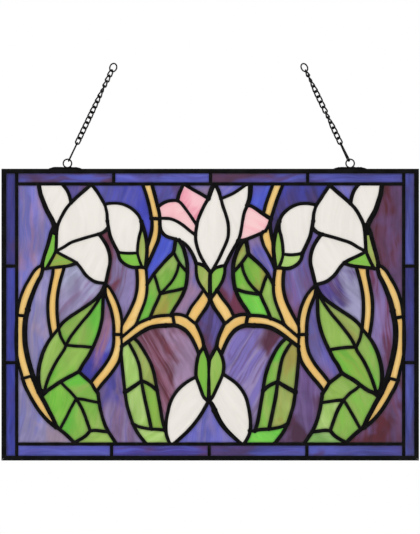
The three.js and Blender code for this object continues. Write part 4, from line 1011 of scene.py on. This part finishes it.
def bead(curve, width, thickness, seed):
    """Points and faces of a rounded bead with closed, rounded ends."""
    way = np.gradient(curve, axis=0)
    way /= np.linalg.norm(way, axis=1)[:, None]
    ends = [(curve[0] - way[0] * width[0] * END_REACH, way[0], width[0], END_WIDTH)]
    ends += [(c, w, b, 1.0) for c, w, b in zip(curve, way, width)]
    ends.append((curve[-1] + way[-1] * width[-1] * END_REACH, way[-1], width[-1], END_WIDTH))
    points = []
    for centre, along, across, share in ends:
        side = np.array([-along[1], along[0]])
        half = across / 2 * share * (1 + WIDTH_WANDER * wobble(*centre, seed, WIDTH_WAVE))
        deep = thickness / 2 * (1 if share == 1 else END_HEIGHT)
        deep *= 1 - HEIGHT_WANDER * abs(wobble(*centre, seed + 5, HEIGHT_WAVE))
        for a in round_angles(BEAD_SIDES):
            c, s = math.cos(a), math.sin(a)
            out = math.copysign(abs(c) ** BEAD_SQUARENESS, c) * half
            depth = math.copysign(abs(s) ** BEAD_SQUARENESS, s) * deep
            points.append((centre[0] + side[0] * out, depth, centre[1] + side[1] * out))
    return points, ring_faces(len(ends), BEAD_SIDES)


# How far solder may stand out past the middle of the lead round the picture, sideways and up or down.
SIDE_REACH, LEVEL_REACH = 3.6 * MM, 1.9 * MM


def kept_in_picture(body):
    """A body whose points don't go past the lead round the picture. The outer stems bow out over it."""
    points, faces = body
    points = np.array(points)
    points[:, 0] = points[:, 0].clip(left - SIDE_REACH, right + SIDE_REACH)
    points[:, 2] = points[:, 2].clip(low - LEVEL_REACH, high + LEVEL_REACH)
    return [tuple(p) for p in points], faces


def joined(bodies):
    """Several bodies' points and faces as one list of each."""
    points, faces = [], []
    for new_points, new_faces in bodies:
        faces += [tuple(v + len(points) for v in f) for f in new_faces]
        points += new_points
    return points, faces

# %% Drops of solder where lines meet
DROP_SIDES, DROP_RINGS = 12, 6
DROP_FULLNESS = 0.7
RIM_WANDER, RIM_WAVE = 0.1, 1.2 * MM


def drop(x, z, radius, thickness, seed):
    """A flattened drop, rounder than a line's end, with a slightly uneven rim."""
    around = DROP_SIDES
    points = [(x, -thickness / 2, z)]
    for j in range(1, DROP_RINGS):
        tilt = math.pi * j / DROP_RINGS
        for a in round_angles(around):
            c, s = math.cos(a), math.sin(a)
            uneven = 1 + RIM_WANDER * wobble(c * MM, s * MM, seed, RIM_WAVE)
            r = radius * math.sin(tilt) ** DROP_FULLNESS * uneven
            points.append((x + r * c, -thickness / 2 * math.cos(tilt), z + r * s))
    points.append((x, thickness / 2, z))
    faces = [(0, 1 + k, 1 + (k + 1) % around) for k in range(around)]
    for a in range(1, 1 + (DROP_RINGS - 2) * around, around):
        b = a + around
        faces += [(a + k, b + k, b + (k + 1) % around, a + (k + 1) % around) for k in range(around)]
    last = 1 + (DROP_RINGS - 2) * around
    faces += [(last + k, len(points) - 1, last + (k + 1) % around) for k in range(around)]
    return points, faces

# %% Blackened metal
def blackened(name, clouds, tones, scuffs, sheen, glint, dents=None):
    """Metal of two dark tones in clouds, its roughness between two values in finer scuffs."""
    metal = Finish(name)
    place = metal.node("ShaderNodeNewGeometry")
    scale, detail, low, high = clouds
    patches = metal.between(metal.grain(place, scale, detail), low, high)
    colour = metal.mix(patches, *(paint(*tone) for tone in tones))
    rough = metal.between(metal.grain(place, scuffs), 0.3, 0.7, *sheen)
    sockets = {"base_color": colour, "roughness": rough, "specular_ior_level": glint}
    if dents:
        strength, depth, fineness = dents
        sockets["normal"] = metal.dents(strength, depth, metal.grain(place, fineness))
    return metal.surface(**sockets)


solder_finish = blackened(
    "blackened solder", clouds=(120.0, 4.0, 0.42, 0.68), tones=((4, 4, 5), (16, 15, 16)),
    scuffs=900.0, sheen=(0.34, 0.56), glint=0.06, dents=(0.3, 0.4 * MM, 420.0),
)
print(solder_finish.name, "has", len(solder_finish.node_tree.nodes), "nodes")

# %% Run every line
# The last number of a bead or a drop picks its own piece of the random wobble.
BEAD_SEED, BORDER_SEED = 1.7, 2.3
BORDER_BEAD_THICKNESS = 0.94 * BEAD_THICKNESS
DROP_WIDTH = 0.6
DROP_THICKNESS = 1.02
picture_lines = through_lines + vein_lines
bead_bodies = []
for i, (curve, width) in enumerate(picture_lines):
    bead_bodies.append(kept_in_picture(bead(curve, width, BEAD_THICKNESS, i * BEAD_SEED)))
for i, (curve, width) in enumerate(border_lines):
    bead_bodies.append(bead(curve, width, BORDER_BEAD_THICKNESS, i * BORDER_SEED))
drop_bodies = []
for i, (curve, width) in enumerate(picture_lines):
    for end in (0, -1):
        size = (width[end] * DROP_WIDTH, BEAD_THICKNESS * DROP_THICKNESS)
        drop_bodies.append(kept_in_picture(drop(*curve[end], *size, i + end)))
for name, bodies in (("lines", bead_bodies), ("drops", drop_bodies)):
    piece = add_piece("solder_" + name, *joined(bodies), solder_finish, ["leadwork"], "lead")
    print(sum(len(p.vertices) - 2 for p in piece.data.polygons), "triangles in the", name)

# %% [markdown]
# ## The frame
#
# Four rails of thin channel hold the border glass in their groove. Each rail is cut at 45 degrees at
# both ends, and the mitres are soldered. A box with a bevel would lose the groove, so the channel's
# section is drawn once and run along each side, its ends sheared to the mitre.

# %% Section of the channel, from the outside in
RAIL_DEPTH = 7 * MM
RAIL_WALL = 1.2 * MM
LIP_ROUND = 0.6 * MM
RAIL_STEPS = 24
MITRE_GAP = 0.08 * MM
GROOVE = GLASS_THICKNESS / 2 + 0.3 * MM


def arc(x, y, radius, start, end, count=4):
    """Points on an arc, its angles in degrees."""
    angles = np.radians(np.linspace(start, end, count))
    return [(x + radius * math.cos(a), y + radius * math.sin(a)) for a in angles]


half = RAIL_DEPTH / 2
section = arc(LIP_ROUND, -half + LIP_ROUND, LIP_ROUND, 180, 270)
section += arc(RAIL_FACE - LIP_ROUND / 2, -half + LIP_ROUND / 2, LIP_ROUND / 2, 270, 360)
section += [(RAIL_FACE, -GROOVE), (RAIL_WALL, -GROOVE), (RAIL_WALL, GROOVE), (RAIL_FACE, GROOVE)]
section += arc(RAIL_FACE - LIP_ROUND / 2, half - LIP_ROUND / 2, LIP_ROUND / 2, 0, 90)
section += arc(LIP_ROUND, half - LIP_ROUND, LIP_ROUND, 90, 180)

# %% The four rails
def rail(start, end, inward):
    """A rail between two outer corners. Inward is the way from its outer edge to the glass."""
    start, end, inward = (np.array(v, float) for v in (start, end, inward))
    length = np.linalg.norm(end - start)
    way = (end - start) / length
    points = []
    for i in range(RAIL_STEPS + 1):
        for deep, y in section:
            mitre = deep + MITRE_GAP
            at = mitre + (length - 2 * mitre) * i / RAIL_STEPS
            spot = start + way * at + inward * deep
            points.append((spot[0], y, spot[1]))
    return points, ring_faces(RAIL_STEPS + 1, len(section), inside_out=True)


x0, x1, z0, z1 = FRAME_LOW.x, FRAME_HIGH.x, FRAME_LOW.z, FRAME_HIGH.z
rails = [
    rail((x0, z0), (x1, z0), (0, 1)),
    rail((x1, z0), (x1, z1), (-1, 0)),
    rail((x1, z1), (x0, z1), (0, -1)),
    rail((x0, z1), (x0, z0), (1, 0)),
]
channel_finish = blackened(
    "black channel", clouds=(60.0, 4.0, 0.4, 0.7), tones=((4, 4, 5), (14, 14, 15)),
    scuffs=300.0, sheen=(0.30, 0.45), glint=0.06, dents=(0.2, 0.3 * MM, 500.0),
)
frame_mesh = add_piece(
    "frame_rails", *joined(rails), channel_finish, ["frame"], "frame_metal", smooth=False
).data
frame_mesh.shade_smooth()
frame_mesh.set_sharp_from_angle(angle=math.radians(35))
print("frame of", len(rails), "rails")

# %% [markdown]
# ## What it hangs from
#
# A patch of solder on the top rail holds a ring of wire at each side, a hairpin of thinner wire hooks
# through the ring, and a curb chain runs on from it to a last ring. A curb link is an oval that has
# been twisted, so that the chain lies flat and two links cross where they bear.

# %% Wire bent along a closed path
def wire(path, radius, sides=8):
    """A round wire along a closed path of 3-D points."""
    path = np.array(path, float)
    count = len(path)
    way = np.roll(path, -1, axis=0) - np.roll(path, 1, axis=0)
    way /= np.linalg.norm(way, axis=1)[:, None]
    # Any vector that no wire runs along will do to start the section from.
    normal = np.cross(way[0], (0.31, 0.83, 0.46))
    rows = []
    for centre, along in zip(path, way):
        normal = normal - along * np.dot(normal, along)
        normal /= np.linalg.norm(normal)
        other = np.cross(along, normal)
        spokes = [math.cos(a) * normal + math.sin(a) * other for a in round_angles(sides)]
        rows.append([centre + radius * spoke for spoke in spokes])
    # The section comes back turned, so the last ring is joined to the first by its nearest corner.
    shift = int(np.argmin([np.linalg.norm(rows[-1][0] - p) for p in rows[0]]))
    faces = []
    for i in range(count):
        move = 0 if i < count - 1 else shift
        a, b = i * sides, (i + 1) % count * sides
        for k in range(sides):
            up = (k + 1) % sides
            faces.append((a + k, a + up, b + (up + move) % sides, b + (k + move) % sides))
    return [tuple(p) for row in rows for p in row], faces

# %% Rings, patches, clips and chains
# Every wire is given by its radius.
LOOP_RADIUS = 5.1 * MM
LOOP_WIRE = 0.9 * MM
LOOP_RISE = 6.6 * MM
CHAIN_LEAN = 0.431
CHAIN_PITCH = 7.01 * MM
CHAIN_WIRE = 0.96 * MM
LINK_WIDTH = 7.2 * MM
CHAIN_LINKS = 14
FIRST_LINK = 30.5 * MM
END_RING_RADIUS = 5.1 * MM
END_RING_WIRE = 0.9 * MM
RING_STEPS, RING_SIDES, CLIP_STEPS, LINK_STEPS = 40, 10, 36, 28
LINK_TWIST = math.radians(40)
END_RING_TURN = math.radians(40)
# How far inside the loop the clip starts, in radii of the loop's wire, and half the share by which it
# narrows towards its head.
CLIP_FOOT = 2.2
CLIP_NARROWING = 0.32
PATCH_LENGTH, PATCH_RISE, PATCH_DEPTH, PATCH_TAPER = 40 * MM, 2.4 * MM, 6 * MM, 7 * MM
PATCH_STEPS, PATCH_SIDES = 48, 12
PATCH_GAP = 0.1 * MM
# The patch's rounding at its ends, its roundness across, and how lumpy it is and over what length.
PATCH_TIP, PATCH_ROUNDING, PATCH_CROWN = 0.04, 0.7, 0.8
PATCH_LUMPS, PATCH_WAVE = 0.35, 4 * MM


def patch(x, base):
    """A long low mound of solder."""
    points, row = [], PATCH_SIDES + 1
    for i in range(PATCH_STEPS + 1):
        t = i / PATCH_STEPS
        from_end = min(t, 1 - t) * PATCH_LENGTH
        share = min(1, from_end / PATCH_TAPER + PATCH_TIP) ** PATCH_ROUNDING
        here = x - PATCH_LENGTH / 2 + PATCH_LENGTH * t
        lump = 1 - PATCH_LUMPS * abs(wobble(here, base, 3, PATCH_WAVE))
        for k in range(row):
            a = math.pi * k / PATCH_SIDES
            deep = PATCH_DEPTH / 2 * math.cos(a) * min(1, 0.5 + share / 2) * lump
            points.append((here, deep, base + PATCH_RISE * math.sin(a) ** PATCH_CROWN * share * lump))
    faces = []
    for a in range(0, PATCH_STEPS * row, row):
        b = a + row
        faces += [(a + k, a + k + 1, b + k + 1, b + k) for k in range(PATCH_SIDES)]
        faces.append((a, b, b + PATCH_SIDES, a + PATCH_SIDES))
    last = PATCH_STEPS * row
    return points, faces + [tuple(range(row))[::-1], tuple(range(last, last + row))]


def curb_link(width, length, twist):
    """The wire's middle line in one link that stands upright, twisted between its ends."""
    bend = width / 2 - CHAIN_WIRE
    straight = length / 2 - CHAIN_WIRE - bend
    path = []
    for a in round_angles(LINK_STEPS):
        x, z = bend * math.cos(a), bend * math.sin(a) + math.copysign(straight, math.sin(a))
        turn = twist * z / (length / 2)
        path.append((x * math.cos(turn), x * math.sin(turn), z))
    return path


def turned(points, turn, lean, shift):
    """Points turned about z, leaned about y, and moved."""
    points = np.array(points)
    c, s = math.cos(turn), math.sin(turn)
    points = points @ np.array([[c, s, 0], [-s, c, 0], [0, 0, 1]])
    c, s = math.cos(lean), math.sin(lean)
    points = points @ np.array([[c, 0, -s], [0, 1, 0], [s, 0, c]])
    return points + np.array(shift)


print("a chain of", CHAIN_LINKS, "links,", round(CHAIN_PITCH * CHAIN_LINKS / MM), "mm of links")

# %% Blackened wire
wire_finish = blackened(
    "blackened wire", clouds=(200.0, 3.0, 0.4, 0.7), tones=((4, 4, 4), (18, 18, 18)),
    scuffs=700.0, sheen=(0.28, 0.42), glint=0.08,
)
print(wire_finish.name, "has", len(wire_finish.node_tree.nodes), "nodes")

# %% Hang it
# How far each link has turned about the chain, in degrees from lying flat to the front.
LEFT_TURNS = [5, 8, 8, 10, 12, 18, 28, 36, 46, 56, 80, 56, 44, 30]
RIGHT_TURNS = [8, 4, 8, 24, 60, 62, 30, 10, 4, 8, 28, 56, 76, 60]

# Side, name, how far the loop stands from the panel's middle, its patch's shift, width and turn of the
# clip, and the links' turns.
HANGERS = [
    (-1, "left", 173.8 * MM, -2.8 * MM, 5.4 * MM, 100, LEFT_TURNS),
    (1, "right", 170.4 * MM, 0, 6.2 * MM, 55, RIGHT_TURNS),
]


def ring(radius):
    """A circle that faces the front."""
    return np.array([(radius * math.cos(a), 0, radius * math.sin(a)) for a in round_angles(RING_STEPS)])


def hang(side, label, offset, patch_shift, clip_width, clip_turn, turns):
    """Everything above the top rail on one side."""
    x, z = side * offset, z1 + LOOP_RISE
    way = np.array([-side * CHAIN_LEAN, 0, math.sqrt(1 - CHAIN_LEAN**2)])
    lean = -side * math.asin(CHAIN_LEAN)
    start = np.array([x, 0, z])
    loop = wire(ring(LOOP_RADIUS) + start, LOOP_WIRE, RING_SIDES)
    hanger = joined([patch(x + patch_shift, z1 + PATCH_GAP), loop])
    add_piece("hanger_" + label + "_dressed", *hanger, solder_finish, ["hanger_" + label], "chain_metal")
    foot = LOOP_RADIUS - CLIP_FOOT * LOOP_WIRE
    head = FIRST_LINK - CHAIN_PITCH / 2 + CHAIN_WIRE
    middle, reach = (foot + head) / 2, head - foot + 2 * CHAIN_WIRE
    bend = clip_width / 2 - CHAIN_WIRE
    straight = reach / 2 - CHAIN_WIRE - bend
    clip = []
    for a in round_angles(CLIP_STEPS):
        z_here = bend * math.sin(a) + math.copysign(straight, math.sin(a))
        narrow = 1 - CLIP_NARROWING * (1 + z_here / (reach / 2))
        clip.append((bend * narrow * math.cos(a), 0, z_here))
    bodies = [wire(turned(clip, math.radians(clip_turn), lean, start + way * middle), CHAIN_WIRE)]
    link = curb_link(LINK_WIDTH, CHAIN_PITCH + 4 * CHAIN_WIRE, LINK_TWIST)
    for i, turn in enumerate(turns):
        spot = start + way * (FIRST_LINK + i * CHAIN_PITCH)
        bodies.append(wire(turned(link, math.radians(turn), lean, spot), CHAIN_WIRE))
    last = FIRST_LINK + CHAIN_PITCH * (CHAIN_LINKS - 1)
    ring_at = last + CHAIN_PITCH / 2 - END_RING_WIRE + END_RING_RADIUS
    end_ring = turned(ring(END_RING_RADIUS), END_RING_TURN, lean, start + way * ring_at)
    bodies.append(wire(end_ring, END_RING_WIRE, RING_SIDES))
    chain = joined(bodies)
    add_piece("chain_" + label + "_links", *chain, wire_finish, ["chain_" + label], "chain_metal")
    return start + way * ring_at


for hanger in HANGERS:
    print(hanger[1], "chain ends at", [round(float(v), 4) for v in hang(*hanger)])

# %% [markdown]
# ## Light, floor and camera
#
# The panel is seen straight on, from far enough away that its sides stay parallel, against a white
# room that shines through the glass. Two large soft lamps from above give the beads their glints. The
# floor lies below the picture's lower edge.

# %% The room
world = bpy.data.worlds.new("white room")
bpy.context.scene.world = world
world.use_nodes = True
world.node_tree.nodes["Background"].inputs["Color"].default_value = (1, 1, 1, 1)
world.node_tree.nodes["Background"].inputs["Strength"].default_value = 1.0
bpy.context.scene.view_settings.view_transform = "Standard"
bpy.context.scene.view_settings.look = "None"

FLOOR = FRAME_LOW.z - 0.25
FLOOR_REACH = 1.1
floor_mesh = bpy.data.meshes.new("floor")
floor_corners = [(x * FLOOR_REACH, y * FLOOR_REACH, FLOOR) for x, y in ((-1, -1), (1, -1), (1, 1), (-1, 1))]
floor_mesh.from_pydata(floor_corners, [], [(0, 1, 2, 3)])
floor = bpy.data.objects.new("floor", floor_mesh)
bpy.context.scene.collection.objects.link(floor)
pale = Finish("pale floor")
speckle = pale.grain(pale.node("ShaderNodeNewGeometry"), 40.0, 4.0)
floor_colour = pale.mix(speckle, paint(238, 238, 236), paint(246, 246, 245))
floor_mesh.materials.append(pale.surface(base_color=floor_colour, roughness=0.7))


def lamp(name, place, target, size, watts):
    """A square soft lamp that looks at a target."""
    data = bpy.data.lights.new(name, "AREA")
    data.size = size
    data.energy = watts
    made = bpy.data.objects.new(name, data)
    bpy.context.scene.collection.objects.link(made)
    made.location = place
    made.rotation_euler = (Vector(target) - Vector(place)).to_track_quat("-Z", "Y").to_euler()


AIM = (0, 0, PANEL_MIDDLE)
lamp("key", (-0.9, -1.2, 0.9), AIM, size=0.7, watts=5)
lamp("rim", (0.8, 1.0, 0.8), AIM, size=0.8, watts=4)
print("two lamps aim at", [round(v, 3) for v in AIM])

# %% The camera
# The picture's height and middle in squares of the drawing, and how far off the camera stands.
VIEW_HEIGHT = 534
VIEW_CENTRE = (210, 267)
DISTANCE = 3.0
SENSOR = 24
camera_data = bpy.data.cameras.new("camera")
camera = bpy.data.objects.new("camera", camera_data)
bpy.context.scene.collection.objects.link(camera)
bpy.context.scene.camera = camera
camera_data.sensor_fit = "VERTICAL"
camera_data.sensor_height = SENSOR
camera_data.lens = SENSOR * DISTANCE / (VIEW_HEIGHT * SQUARE)
centre = on_panel(VIEW_CENTRE)
camera.location = (centre[0], -DISTANCE, centre[1])
camera.rotation_euler = (math.radians(90), 0, 0)
print("lens", round(camera_data.lens, 1), "mm at", DISTANCE, "m")
